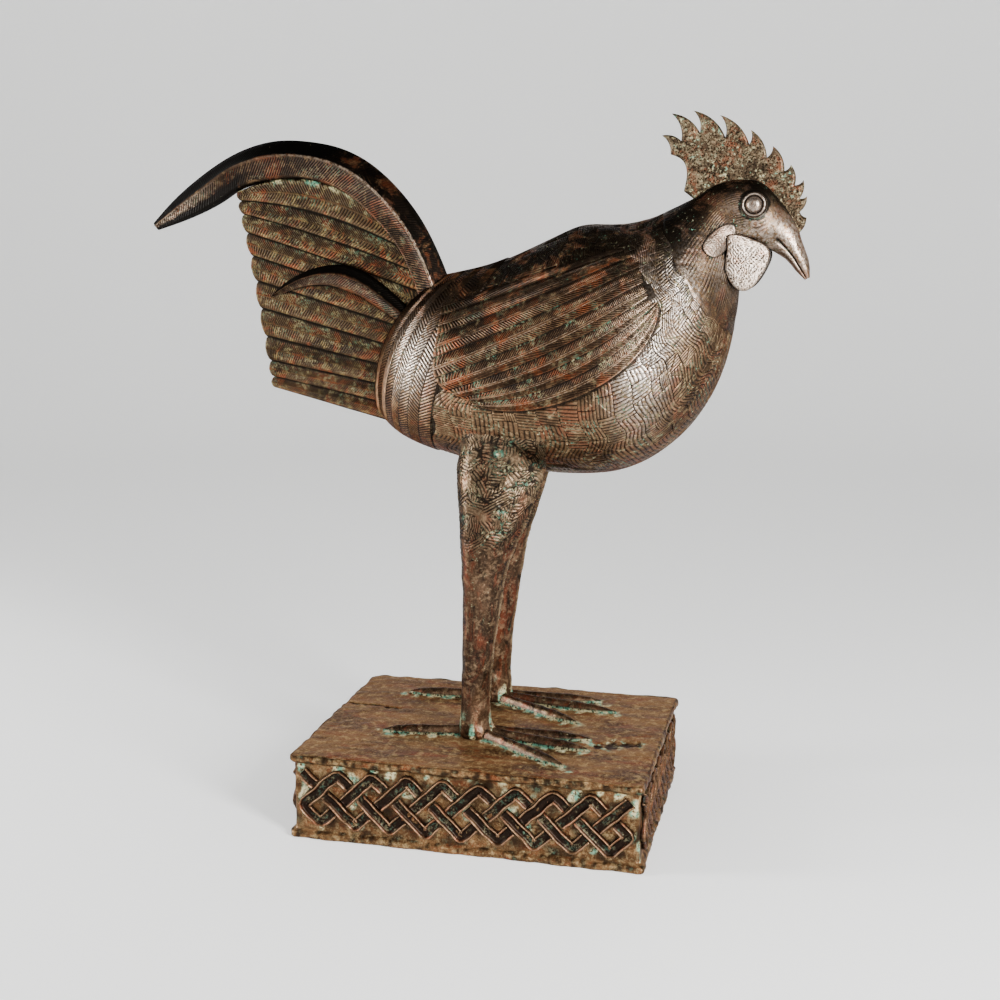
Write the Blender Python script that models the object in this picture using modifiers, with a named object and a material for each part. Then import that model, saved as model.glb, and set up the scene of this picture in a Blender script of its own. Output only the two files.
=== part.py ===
"""Cast bronze rooster standing on a rectangular plinth with plaited sides.

Metres, +Z up. The origin is the middle of the plinth's underside, the beak points along +X
and the side that is seen first faces -Y. The figure is drawn in parts of its own height,
from the soles of its feet to the tips of its comb, with x along the bird, y out from its
middle plane and z up from the soles.
"""
import math

import bmesh
import bpy
import numpy as np
from mathutils import Vector
from mathutils.bvhtree import BVHTree

# Sizes of the plinth, in metres
PLINTH_LENGTH = 0.250
PLINTH_DEPTH = 0.188
PLINTH_HEIGHT = 0.061
TOP_PLATE = 0.0045
BOTTOM_FLANGE = 0.0050
PANEL_RECESS = 0.0030
CORNER_RADIUS = 0.0030
EDGE_BEVEL = 0.0012

# Sizes of the plait on the plinth's sides, in metres
BAND_WIDTH = 0.0084
BAND_RISE = 0.0026
BAND_GROOVE = 0.0014
BAND_CLEARANCE = 0.0010
BAND_ROOT = 0.0010
BAND_CREST_SHARE = 0.78
PLAIT_END_MARGIN = 0.0030
PLAIT_PITCH_SHARE = 0.75

# Size and place of the figure, in metres
FIGURE_HEIGHT = 0.436
FIGURE_SET_BACK = 0.015
FOOT_GAP = 0.0003

# The figure's own measure: this many parts from sole to comb
FIGURE_PARTS = 436.0
PART = FIGURE_HEIGHT / FIGURE_PARTS

# How far from the middle plane a ray towards the body's skin starts
RAY_START = 200.0

# Points closer than this are one, in metres
WELD = 1e-6

# Trunk, neck, head and beak: crest x z, keel x z, half width, rearward bow, fullness below
BODY = (
    (-38, 326.5, -90, 228.5, 13, 16, 0.10),
    (-26, 329.0, -77, 216.5, 33, 13, 0.18),
    (-4, 334.5, -56, 206.0, 47, 9, 0.22),
    (21, 344.5, -24, 197.0, 57, 4, 0.24),
    (45, 355.5, 6, 191.5, 65, 0, 0.24),
    (62, 361.5, 42, 189.0, 70, 0, 0.24),
    (80, 361.8, 76, 190.0, 72, 0, 0.22),
    (95, 363.0, 103, 197.5, 70, 0, 0.18),
    (107, 366.0, 128.5, 215.5, 64, 0, 0.14),
    (116, 369.5, 148, 240.5, 56, 0, 0.10),
    (124, 373.0, 160, 269.0, 45, 0, 0.06),
    (132, 377.5, 165.5, 297.0, 34, 0, 0.02),
    (139, 381.0, 168, 320.0, 26, 0, 0.00),
    (148, 386.5, 169, 334.0, 21, 0, 0.00),
    (159, 390.5, 175, 341.0, 20, 0, 0.00),
    (171, 391.0, 183, 343.0, 19, 0, 0.00),
    (183, 387.0, 188, 344.0, 16.5, 0, 0.00),
    (201, 366.5, 189.5, 343.5, 11, 0, 0.00),
    (207.5, 351.5, 197.5, 338.5, 8, 0, 0.00),
    (212.5, 338.5, 204.5, 331.0, 5, 0, 0.00),
    (213.8, 326.5, 210.8, 325.0, 1.8, 0, 0.00),
)
BODY_POINTS = 28
COLLAR_COLUMNS = 6
COLLAR_END = 2.4
COLLAR_RISE = 0.7
TRUNK_RINGS = 20
MOUTH_START = 16.6
MOUTH_POINT = 9
MOUTH_PINCH = 0.78
TAIL_END_BULGE = 6.0

# Great sickle feather: outer x z, inner x z, half thickness, half width of its underside
SICKLE = (
    (-264.0, 363.0, -260.5, 358.0, 2.5, 1.5),
    (-245.0, 381.0, -234.0, 366.5, 5.5, 2.5),
    (-222.0, 398.0, -208.0, 378.0, 8.5, 3.5),
    (-197.0, 412.0, -190.0, 388.0, 10.5, 4.5),
    (-170.0, 420.0, -166.0, 392.5, 11.5, 5.0),
    (-145.0, 420.5, -146.0, 393.0, 12.0, 5.0),
    (-119.0, 416.0, -126.0, 388.5, 12.0, 5.0),
    (-96.0, 405.5, -108.0, 379.0, 12.0, 5.0),
    (-76.0, 389.0, -93.0, 366.0, 12.0, 5.0),
    (-59.0, 368.5, -80.0, 352.0, 12.0, 5.0),
    (-47.0, 347.5, -70.0, 337.0, 12.0, 5.0),
    (-38.0, 326.5, -62.0, 318.0, 12.0, 5.0),
    (-32.0, 307.0, -56.0, 299.0, 11.0, 5.0),
)
SICKLE_RINGS = 20
SICKLE_RIDGE = 0.38
SICKLE_CREST = 1.2

# Small sickle on each flank of the tail: outer x z, inner x z, rise above the tail's middle
SIDE_SICKLE = (
    (-171.0, 311.0, -169.5, 309.5, 5.0),
    (-150.0, 325.5, -147.0, 316.5, 8.5),
    (-121.0, 333.5, -126.0, 318.0, 11.0),
    (-98.0, 328.5, -104.0, 312.0, 12.5),
    (-78.0, 315.0, -88.0, 303.0, 13.0),
    (-58.0, 297.0, -68.0, 290.0, 12.0),
)
SIDE_SICKLE_RINGS = 12
SIDE_SICKLE_RIDGE = 0.42
SIDE_SICKLE_SHELF = 0.62

# Tail: rear edge from the bottom up, root inside the body, and the rise of its top edge
TAIL_REAR = ((-172, 243), (-175, 263), (-181, 301), (-187, 339), (-193, 369), (-195.5, 386))
TAIL_ROOT = ((-72, 219), (-66, 262), (-50, 311))
TAIL_FEATHERS = 10
TAIL_ARCH = 43.0
TAIL_ARCH_POWER = 10.0
TAIL_SCALLOP = 3.0
TAIL_REAR_HALF = 3.8
TAIL_ROOT_HALF = 6.0
TAIL_COLUMNS = 7
TAIL_GROOVE = 1.3

# Wing: rear edge from the bottom up, front edge, and how far the lower edge drops
WING_REAR = ((2, 241.5), (-12, 247), (-31.5, 258.5), (-32.5, 287), (-33, 312))
WING_FRONT = ((120.5, 307), (118.5, 316), (108, 339), (92, 349))
WING_DROP = ((3.5, -31.5), (37.0, -23.0))
WING_DROP_FADE = 0.30
WING_FEATHERS = 8
WING_COLUMNS = 15
WING_STEP = 2.2
WING_TOP_STEP = 1.2
WING_DEPTH = 4.0
WING_GROOVE = 0.9
WING_GROOVE_FADE = 0.25

# Share of a feather's width, and share of its relief, for its edge, its lip and its quill
FEATHER_PROFILE = ((0.0, 0.0), (0.12, 1.0), (0.5, 0.9))

# Comb: tips from back to front, the notch in front of each, and its back edge
COMB_TIPS = (
    (112.8, 420.2), (118.9, 434.4), (133.5, 436.0), (151.1, 432.8), (171.6, 423.0),
    (186.5, 412.3), (198.6, 400.1), (207.1, 390.1), (209.8, 379.7), (210.0, 365.9),
)
COMB_NOTCHES = (
    (126.0, 416.4), (138.2, 421.7), (155.2, 418.2), (171.0, 413.6), (182.8, 404.9),
    (194.5, 396.1), (201.6, 386.8), (205.0, 378.3), (205.5, 369.6), (205.0, 355.5),
)
COMB_BACK = ((128.5, 383.5), (130.2, 395.0), (127.0, 403.7), (119.0, 407.7))
COMB_ROOT = ((198, 357), (184, 376), (168, 382), (150, 378), (141, 374))
COMB_HALF = 2.3
TOOTH_BELLY = 0.13
TOOTH_HOLLOW = 0.14
TOOTH_STEPS = (0.0, 0.35, 0.7)

# Eye: centre, and its profile from the middle out as radius and height
EYE_CENTRE = (176.5, 374.0)
EYE_PROFILE = (
    (0.0, 4.4), (2.6, 3.9), (4.3, 2.6), (5.1, 0.9), (5.8, 0.9), (6.3, 2.2), (7.5, 2.2),
    (8.3, 0.4), (8.3, -6.0), (0.0, -6.0),
)
EYE_STEPS = 14
EYE_PROUD = 0.4
EYE_LEAN = 0.35

# Wattle and ear lobe on each side of the head: outlines, and the span out from the middle
WATTLE = (
    (162, 355), (177, 351.5), (187.5, 344.5), (185, 332), (176, 319.5), (166, 320.5),
    (159.5, 333), (160.5, 346),
)
WATTLE_SPAN = (10.0, 17.0)
LOBE = ((164, 361), (165, 354), (158, 343), (152, 341), (147.5, 346), (150, 353), (157, 360))
LOBE_SPAN = (11.0, 22.0)
LAPPET_EDGE = 1.2

# Leg: height, rear x, front x, half width, distance of its middle from the figure's
LEG = (
    (229, -20.0, 50.0, 22.0, 35.0),
    (200, -20.5, 43.5, 24.0, 36.0),
    (176, -20.0, 35.0, 22.0, 37.5),
    (152, -18.5, 27.3, 18.5, 38.5),
    (129, -17.0, 20.0, 15.5, 39.5),
    (100, -16.0, 15.0, 13.0, 40.0),
    (62, -16.5, 9.2, 12.0, 40.0),
    (25, -17.5, 7.0, 11.5, 40.0),
    (6, -19.0, 8.0, 12.5, 40.0),
    (0.6, -18.5, 8.0, 11.5, 40.0),
)
LEG_RINGS = 12
LEG_POINTS = 14
LEG_CREST = 0.35
FAR_LEG_BACK = 8.0

# Toes: where they spring from in the leg, and their tips, x and y from the leg's middle
TOE_SPRING = {"back": (-4, 0), "left": (2, 3), "middle": (3, 0), "right": (2, -3)}
LEG_FOOT_X = -6.0
NEAR_TOES = {"back": (-69, -8), "left": (82, 8), "middle": (84, -13), "right": (72, -46)}
FAR_TOES = {"back": (-68, -2), "left": (83, 11), "middle": (98, -11), "right": (73, -40)}
TOE_SECTIONS = ((0.0, 5.5, 10.0), (0.3, 5.0, 9.0), (0.65, 5.7, 8.0), (0.88, 3.8, 5.5),
                (1.0, 0.9, 1.4))
TOE_POINTS = 6

# Cast metal: colours in linear red, green and blue, and how rough and metallic it is
ROOSTER_COLOUR = (0.082, 0.054, 0.036, 1.0)
PLINTH_COLOUR = (0.130, 0.086, 0.052, 1.0)
ROOSTER_ROUGHNESS = 0.45
PLINTH_ROUGHNESS = 0.55
METALLIC = 0.85

# Edges sharper than this stay crisp, in degrees
SHARP_EDGE = 35.0


def clear_scene():
    """Remove every object, so that the part starts alone."""
    for old in list(bpy.data.objects):
        bpy.data.objects.remove(old, do_unlink=True)


def cubic_through(rows, positions):
    """Natural cubic spline through rows of numbers, one row at 0, 1, 2 and so on."""
    rows = np.asarray(rows, dtype=float)
    last = len(rows) - 1
    system = np.eye(last + 1)
    pull = np.zeros_like(rows)
    for i in range(1, last):
        system[i, i - 1:i + 2] = (1.0, 4.0, 1.0)
        pull[i] = 6.0 * (rows[i - 1] - 2.0 * rows[i] + rows[i + 1])
    bend = np.linalg.solve(system, pull)
    at = np.clip(np.asarray(positions, dtype=float), 0.0, last)
    low = np.minimum(at.astype(int), last - 1)
    up = (at - low)[:, None]
    down = 1.0 - up
    curve = down * rows[low] + up * rows[low + 1]
    return curve + ((down ** 3 - down) * bend[low] + (up ** 3 - up) * bend[low + 1]) / 6.0


def evenly(rows, count):
    """The same spline, read at a number of even positions from its first row to its last."""
    return cubic_through(rows, np.linspace(0.0, len(rows) - 1.0, count))


def to_world(points):
    """Turn the figure's own parts into metres, above the plinth and set back on it."""
    foot = np.array((0.0, FIGURE_SET_BACK, PLINTH_HEIGHT + FOOT_GAP))
    return np.asarray(points, dtype=float) * PART + foot


def add_mesh(name, vertices, faces, home):
    """Make a closed mesh object with its faces pointing out, and link it to a collection."""
    mesh = bpy.data.meshes.new(name)
    mesh.from_pydata([tuple(v) for v in vertices], [], faces)
    shell = bmesh.new()
    shell.from_mesh(mesh)
    bmesh.ops.recalc_face_normals(shell, faces=shell.faces)
    shell.to_mesh(mesh)
    shell.free()
    built = bpy.data.objects.new(name, mesh)
    home.objects.link(built)
    return built


def loft(name, rings, home, start_bulge=(0, 0, 0), end_bulge=(0, 0, 0)):
    """Skin equal closed rings in order, each end closed by a fan to its pushed-out middle."""
    rings = np.asarray(rings, dtype=float)
    count, around = rings.shape[:2]
    middles = (rings[0].mean(axis=0) + start_bulge, rings[-1].mean(axis=0) + end_bulge)
    vertices = np.vstack([rings.reshape(-1, 3), middles])
    faces = []
    for i in range(count - 1):
        for j in range(around):
            k = (j + 1) % around
            faces.append((i * around + j, i * around + k,
                          (i + 1) * around + k, (i + 1) * around + j))
    last = (count - 1) * around
    for j in range(around):
        k = (j + 1) % around
        faces.append((count * around, k, j))
        faces.append((count * around + 1, last + j, last + k))
    return add_mesh(name, to_world(vertices), faces, home)


def slab(name, front, back, home):
    """Close the space between two grids of points of the same size, in metres."""
    front = np.asarray(front, dtype=float)
    rows, columns = front.shape[:2]
    size = rows * columns
    vertices = np.vstack([front.reshape(-1, 3), np.asarray(back).reshape(-1, 3)])
    faces = []
    for i in range(rows - 1):
        for j in range(columns - 1):
            a = i * columns + j
            quad = (a, a + 1, a + columns + 1, a + columns)
            faces.append(quad)
            faces.append(tuple(size + v for v in reversed(quad)))
    rim = [j for j in range(columns - 1)]
    rim += [i * columns + columns - 1 for i in range(rows - 1)]
    rim += [(rows - 1) * columns + j for j in range(columns - 1, 0, -1)]
    rim += [i * columns for i in range(rows - 1, 0, -1)]
    for here, there in zip(rim, rim[1:] + rim[:1]):
        faces.append((there, here, size + here, size + there))
    return add_mesh(name, vertices, faces, home)


def chord_frame(rows):
    """Middle, half length, direction to the first point and normal of each chord in x and z."""
    first, second = rows[:, 0:2], rows[:, 2:4]
    middle = (first + second) / 2.0
    half = np.linalg.norm(first - second, axis=1) / 2.0
    along = (first - second) / (2.0 * half[:, None])
    across = np.stack([-along[:, 1], along[:, 0]], axis=1)
    return middle, half, along, across


def body_rings():
    """Egg-shaped sections from the tail's root to the beak, with the collar's low columns.

    A point at angle a from the crest is the chord's middle plus half its length times cos a,
    pushed back by the bow times sin squared a, and out by the half width times sin a, which
    the fullness makes larger below the middle than above it.
    """
    collar = np.linspace(0.0, COLLAR_END, 2 * COLLAR_COLUMNS + 1)
    trunk = np.linspace(COLLAR_END, len(BODY) - 1.0, TRUNK_RINGS + 1)[1:]
    positions = np.concatenate([collar, trunk])
    rows = cubic_through(BODY, positions)
    middle, half, along, across = chord_frame(rows)
    angle = np.arange(BODY_POINTS) * 2.0 * math.pi / BODY_POINTS
    cosine, sine = np.cos(angle), np.sin(angle)
    width = rows[:, 4].copy()
    width[1:2 * COLLAR_COLUMNS:2] += COLLAR_RISE
    out = width[:, None] * sine * (1.0 - rows[:, 6, None] * cosine)
    beak = positions >= MOUTH_START
    for point in (MOUTH_POINT, BODY_POINTS - MOUTH_POINT):
        out[beak, point] *= MOUTH_PINCH
    flat = (middle[:, None, :]
            + (half[:, None] * cosine)[:, :, None] * along[:, None, :]
            + (rows[:, 5, None] * sine ** 2)[:, :, None] * across[:, None, :])
    return np.stack([flat[:, :, 0], out, flat[:, :, 1]], axis=2)


def feather_lines(feathers):
    """Places across a run of feathers, and the relief there: edge, lip and quill of each."""
    places = [(k + place) / feathers for k in range(feathers) for place, _ in FEATHER_PROFILE]
    relief = [high for _ in range(feathers) for _, high in FEATHER_PROFILE]
    return np.array(places + [1.0]), np.array(relief + [0.0])


def make_tail(home):
    """Upright fan of feathers, scalloped behind and thicker at its root."""
    across, relief = feather_lines(TAIL_FEATHERS)
    along = np.linspace(0.0, 1.0, TAIL_COLUMNS)
    rear = cubic_through(TAIL_REAR, across * (len(TAIL_REAR) - 1))
    root = cubic_through(TAIL_ROOT, across * (len(TAIL_ROOT) - 1))
    rear[:, 0] += TAIL_SCALLOP * (1.0 - np.abs(np.sin(across * TAIL_FEATHERS * math.pi)))
    line = rear[:, None, :] + along[None, :, None] * (root - rear)[:, None, :]
    line[:, :, 1] += (TAIL_ARCH * across[:, None] ** TAIL_ARCH_POWER
                      * 4.0 * along * (1.0 - along))
    half = TAIL_REAR_HALF + (TAIL_ROOT_HALF - TAIL_REAR_HALF) * along
    thick = half[None, :] - TAIL_GROOVE * (1.0 - relief[:, None])
    near = np.stack([line[:, :, 0], -thick, line[:, :, 1]], axis=2)
    far = near * (1.0, -1.0, 1.0)
    return slab("tail_blank", to_world(near), to_world(far), home)


def make_sickle(home):
    """Great curved feather over the tail, a kite in section with a flat underside."""
    rows = evenly(SICKLE, SICKLE_RINGS)
    outer, inner = rows[:, 0:2], rows[:, 2:4]
    ridge = outer + SICKLE_RIDGE * (inner - outer)
    corners = (
        (outer, np.full(SICKLE_RINGS, SICKLE_CREST)), (ridge, rows[:, 4]), (inner, rows[:, 5]),
        (inner, -rows[:, 5]), (ridge, -rows[:, 4]), (outer, np.full(SICKLE_RINGS, -SICKLE_CREST)),
    )
    rings = np.stack([np.stack([p[:, 0], y, p[:, 1]], axis=1) for p, y in corners], axis=1)
    return loft("sickle_blank", rings, home)


def make_side_sickle(side, home):
    """Crescent feather raised on one flank of the tail, with a ridge along it."""
    rows = evenly(SIDE_SICKLE, SIDE_SICKLE_RINGS)
    outer, inner, rise = rows[:, 0:2], rows[:, 2:4], rows[:, 4]
    ridge = outer + SIDE_SICKLE_RIDGE * (inner - outer)
    shelf = SIDE_SICKLE_SHELF * rise
    corners = ((outer, shelf), (ridge, rise), (inner, shelf), (inner, 0.0 * rise),
               (outer, 0.0 * rise))
    rings = np.stack([np.stack([p[:, 0], side * y, p[:, 1]], axis=1) for p, y in corners], axis=1)
    return loft("side_sickle_blank", rings, home)


def make_wing(side, skin, home):
    """Folded wing laid on the body, its feathers fanning back from the shoulder.

    Each feather's edge is a cubic curve from the rear edge to the front edge, and it sags by
    a drop that fades up the wing. The body's skin under each point is found by a ray from
    the side, and the wing's face stands its step out from there.
    """
    across, relief = feather_lines(WING_FEATHERS)
    along = np.linspace(0.0, 1.0, WING_COLUMNS)
    rear = cubic_through(WING_REAR, across * (len(WING_REAR) - 1))
    front = cubic_through(WING_FRONT, across * (len(WING_FRONT) - 1))
    fade = np.exp(-across / WING_DROP_FADE)[:, None]
    first = rear + (front - rear) / 3.0 + fade * WING_DROP[0]
    second = front - (front - rear) / 3.0 + fade * WING_DROP[1]
    u = along[None, :, None]
    line = ((1 - u) ** 3 * rear[:, None] + 3 * u * (1 - u) ** 2 * first[:, None]
            + 3 * u ** 2 * (1 - u) * second[:, None] + u ** 3 * front[:, None])
    step = WING_STEP + (WING_TOP_STEP - WING_STEP) * across
    groove = WING_GROOVE * (1.0 - relief) * across ** WING_GROOVE_FADE
    raised = np.repeat((step - groove)[:, None], WING_COLUMNS, axis=1)
    flat = line.reshape(-1, 2)
    aside = np.full(len(flat), side * RAY_START)
    starts = to_world(np.stack([flat[:, 0], aside, flat[:, 1]], axis=1))
    met = [skin.ray_cast(Vector(p), Vector((0.0, -side, 0.0)))[:2] for p in starts]
    laid = np.array([tuple(hit) for hit, _ in met]).reshape(*line.shape[:2], 3)
    out = np.array([tuple(normal) for _, normal in met]).reshape(laid.shape)
    face = laid + raised[:, :, None] * PART * out
    under = laid - WING_DEPTH * PART * out
    return slab("wing_blank", face, under, home)


def flat_outline(name, outline, span, home, edge=0.0):
    """Plate with the outline in x and z, between two distances from the middle plane."""
    curve = bpy.data.curves.new(name, "CURVE")
    curve.dimensions = "2D"
    curve.fill_mode = "BOTH"
    curve.extrude = abs(span[1] - span[0]) / 2.0 * PART - edge * PART
    curve.bevel_depth = edge * PART
    curve.offset = -edge * PART
    curve.bevel_resolution = 0
    line = curve.splines.new("POLY")
    line.points.add(len(outline) - 1)
    for point, (x, z) in zip(line.points, outline):
        point.co = (x * PART, z * PART, 0.0, 1.0)
    line.use_cyclic_u = True
    drawn = bpy.data.objects.new(name, curve)
    drawn.rotation_euler = (math.pi / 2.0, 0.0, 0.0)
    drawn.location = (0.0, FIGURE_SET_BACK + (span[0] + span[1]) / 2.0 * PART,
                      PLINTH_HEIGHT + FOOT_GAP)
    home.objects.link(drawn)
    bpy.context.view_layer.update()
    graph = bpy.context.evaluated_depsgraph_get()
    mesh = bpy.data.meshes.new_from_object(drawn.evaluated_get(graph))
    shell = bmesh.new()
    shell.from_mesh(mesh)
    bmesh.ops.remove_doubles(shell, verts=shell.verts, dist=WELD)
    bmesh.ops.recalc_face_normals(shell, faces=shell.faces)
    shell.to_mesh(mesh)
    shell.free()
    plate = bpy.data.objects.new(name, mesh)
    plate.matrix_world = drawn.matrix_world
    home.objects.link(plate)
    bpy.data.objects.remove(drawn, do_unlink=True)
    return plate


def bowed_edge(start, end, bow):
    """Three points from start towards end on a curve bowed to the left by a share of it."""
    start, end = np.asarray(start, dtype=float), np.asarray(end, dtype=float)
    run = end - start
    left = np.array((-run[1], run[0]))
    return [tuple(start + t * run + 4.0 * t * (1.0 - t) * bow * left) for t in TOOTH_STEPS]


def make_comb(home):
    """Thin upright comb of flame-like teeth that lean back."""
    outline = list(COMB_BACK)
    before = COMB_BACK[-1]
    for tip, notch in zip(COMB_TIPS, COMB_NOTCHES):
        outline += bowed_edge(before, tip, -TOOTH_HOLLOW)[1:]
        outline += bowed_edge(tip, notch, TOOTH_BELLY)
        before = notch
    outline.append(COMB_NOTCHES[-1])
    outline += COMB_ROOT
    return flat_outline("comb_blank", outline, (-COMB_HALF, COMB_HALF), home)


def make_lappet(name, corners, span, side, home):
    """Rounded flap of skin on one side of the head."""
    closed = list(corners) + list(corners[:2])
    outline = cubic_through(closed, np.arange(0.5, len(corners) + 0.5, 0.5))
    return flat_outline(name, outline, (side * span[0], side * span[1]), home, LAPPET_EDGE)


def make_eye(side, skin, home):
    """Round eyeball in a raised ring, turned about an axis that points out of the head."""
    mesh = bpy.data.meshes.new("eye_blank")
    profile = [(radius * PART, 0.0, high * PART) for radius, high in EYE_PROFILE]
    mesh.from_pydata(profile, [(i, i + 1) for i in range(len(profile) - 1)], [])
    eye = bpy.data.objects.new("eye_blank", mesh)
    turn = eye.modifiers.new("turn", "SCREW")
    turn.steps = turn.render_steps = EYE_STEPS
    turn.use_merge_vertices = True
    turn.merge_threshold = WELD
    turn.use_normal_calculate = True
    start = to_world((EYE_CENTRE[0], side * RAY_START, EYE_CENTRE[1]))
    hit, normal = skin.ray_cast(Vector(start), Vector((0.0, -side, 0.0)))[:2]
    axis = (Vector((0.0, side, 0.0)) + EYE_LEAN * normal).normalized()
    eye.location = hit + axis * (EYE_PROUD * PART)
    eye.rotation_euler = axis.to_track_quat("Z", "Y").to_euler()
    home.objects.link(eye)
    return eye


def leg_shift(side):
    """How far back a leg stands: the far one stands a little behind the near one."""
    return -FAR_LEG_BACK if side > 0 else 0.0


def make_leg(side, home):
    """Thigh and shank in one taper, its section drawn out to a soft crest in front."""
    rows = evenly(LEG, LEG_RINGS)
    rows[:, 1:3] += leg_shift(side)
    angle = np.arange(LEG_POINTS) * 2.0 * math.pi / LEG_POINTS
    middle = (rows[:, 1] + rows[:, 2]) / 2.0
    reach = (rows[:, 2] - rows[:, 1]) / 2.0
    x = middle[:, None] + reach[:, None] * np.cos(angle)
    y = rows[:, 3, None] * np.sin(angle) * (1.0 - LEG_CREST * np.cos(angle))
    z = np.repeat(rows[:, 0, None], LEG_POINTS, axis=1)
    return loft("leg_blank", np.stack([x, side * rows[:, 4, None] + y, z], axis=2), home)


def make_toe(foot, spring, tip, home):
    """Half-round toe with a flat sole that narrows to a claw."""
    start = np.array(foot) + spring
    run = np.array(foot) + tip - start
    left = np.array((-run[1], run[0])) / np.linalg.norm(run)
    angle = np.linspace(0.0, math.pi, TOE_POINTS)
    rings = []
    for share, half, high in TOE_SECTIONS:
        centre = start + share * run
        flat = centre + half * np.cos(angle)[:, None] * left
        rings.append(np.column_stack([flat, high * np.sin(angle)]))
    return loft("toe_blank", rings, home)


def make_plinth_block(home):
    """Block with a recessed panel on each side, between a top plate and a bottom flange."""
    levels = (
        (0.0, EDGE_BEVEL), (EDGE_BEVEL, 0.0), (BOTTOM_FLANGE, 0.0),
        (BOTTOM_FLANGE + PANEL_RECESS / 2.0, PANEL_RECESS),
        (PLINTH_HEIGHT - TOP_PLATE - PANEL_RECESS / 2.0, PANEL_RECESS),
        (PLINTH_HEIGHT - TOP_PLATE, 0.0), (PLINTH_HEIGHT - EDGE_BEVEL, 0.0),
        (PLINTH_HEIGHT, EDGE_BEVEL),
    )
    vertices, faces = [], []
    corners = ((1, 1), (-1, 1), (-1, -1), (1, -1))
    for height, inset in levels:
        for turn, (sign_x, sign_y) in enumerate(corners):
            for step in range(3):
                angle = (turn + step / 2.0) * math.pi / 2.0
                x = sign_x * (PLINTH_LENGTH / 2.0 - CORNER_RADIUS - inset)
                y = sign_y * (PLINTH_DEPTH / 2.0 - CORNER_RADIUS - inset)
                vertices.append((x + CORNER_RADIUS * math.cos(angle),
                                 y + CORNER_RADIUS * math.sin(angle), height))
    around = 3 * len(corners)
    for i in range(len(levels) - 1):
        for j in range(around):
            k = (j + 1) % around
            faces.append((i * around + j, i * around + k,
                          (i + 1) * around + k, (i + 1) * around + j))
    faces.append(tuple(range(around - 1, -1, -1)))
    faces.append(tuple(range(len(vertices) - around, len(vertices))))
    return add_mesh("plinth", vertices, faces, home)


def plait_paths(length, reach):
    """Centre lines of the parts of a three-strand plait that lie on top, in u and z.

    The strands are zigzags between -reach and +reach, a third of a wave apart. Falling
    strands lie on top in the lower row of crossings and rising ones in the upper row, and
    a strand that meets the end of the panel turns back there.
    """
    count = max(3, round(PLAIT_PITCH_SHARE * length / reach))
    pitch = length / count
    slope = 2.0 * reach / (1.5 * pitch)
    stop = (BAND_WIDTH / 2.0 + BAND_CLEARANCE) / math.hypot(1.0, slope)
    hook = 0.5 * pitch - stop
    arm = pitch - stop
    paths = []
    for k in range(1, count - 1):
        turn = (k + 0.5) * pitch
        paths.append([(turn - arm, -reach + slope * arm), (turn, -reach),
                      (turn + hook, -reach + slope * hook)])
    for k in range(2, count):
        turn = k * pitch
        paths.append([(turn - arm, reach - slope * arm), (turn, reach),
                      (turn + hook, reach - slope * hook)])
    side = -reach + slope * 0.5 * pitch
    paths.append([(0.5 * pitch + hook, -reach + slope * hook), (0.5 * pitch, -reach), (0.0, side),
                  (pitch, reach), (pitch + hook, reach - slope * hook)])
    paths.append([(length - 0.5 * pitch - arm, -reach + slope * arm),
                  (length - 0.5 * pitch, -reach), (length, side),
                  (length - hook, side + slope * hook)])
    paths.append([(0.0, reach), (hook, reach - slope * hook)])
    paths.append([(length - arm, reach - slope * arm), (length, reach)])
    return [[(u - length / 2.0, z) for u, z in path] for path in paths]


def band_rings(path):
    """Mitred sections along a centre line: two raised edges with a groove between them."""
    path = np.asarray(path)
    runs = np.diff(path, axis=0)
    runs /= np.linalg.norm(runs, axis=1)[:, None]
    lefts = np.stack([-runs[:, 1], runs[:, 0]], axis=1)
    half = BAND_WIDTH / 2.0
    crest = BAND_CREST_SHARE * half
    profile = ((-half, -BAND_ROOT), (-crest, BAND_RISE), (0.0, BAND_RISE - BAND_GROOVE),
               (crest, BAND_RISE), (half, -BAND_ROOT))
    rings = []
    for i, point in enumerate(path):
        before, after = lefts[max(i - 1, 0)], lefts[min(i, len(lefts) - 1)]
        mitre = (before + after) / (1.0 + before @ after)
        rings.append([(*(point + offset * mitre), out) for offset, out in profile])
    return rings


def make_plait(home):
    """All the strands of the four sides, as separate low ridges in one mesh."""
    low = BOTTOM_FLANGE + PANEL_RECESS / 2.0
    high = PLINTH_HEIGHT - TOP_PLATE - PANEL_RECESS / 2.0
    reach = (high - low) / 2.0 - BAND_WIDTH / math.sqrt(2.0)
    level = (high + low) / 2.0
    sides = ((PLINTH_LENGTH, PLINTH_DEPTH, 0.0), (PLINTH_DEPTH, PLINTH_LENGTH, 0.5),
             (PLINTH_LENGTH, PLINTH_DEPTH, 1.0), (PLINTH_DEPTH, PLINTH_LENGTH, 1.5))
    vertices, faces = [], []
    for wide, deep, half_turns in sides:
        length = wide - 2.0 * (PANEL_RECESS + PLAIT_END_MARGIN) - BAND_WIDTH
        cosine = math.cos(half_turns * math.pi)
        sine = math.sin(half_turns * math.pi)
        for path in plait_paths(length, reach):
            rings = band_rings(path)
            around = len(rings[0])
            first = len(vertices)
            for ring in rings:
                for u, z, out in ring:
                    y = -(deep / 2.0 - PANEL_RECESS + out)
                    vertices.append((u * cosine - y * sine, u * sine + y * cosine, level + z))
            for i in range(len(rings) - 1):
                for j in range(around):
                    k = (j + 1) % around
                    faces.append(tuple(first + n for n in (
                        i * around + j, i * around + k, (i + 1) * around + k,
                        (i + 1) * around + j)))
            faces.append(tuple(first + j for j in range(around)))
            last = first + (len(rings) - 1) * around
            faces.append(tuple(last + j for j in reversed(range(around))))
    return add_mesh("plait_blank", vertices, faces, home)


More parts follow.
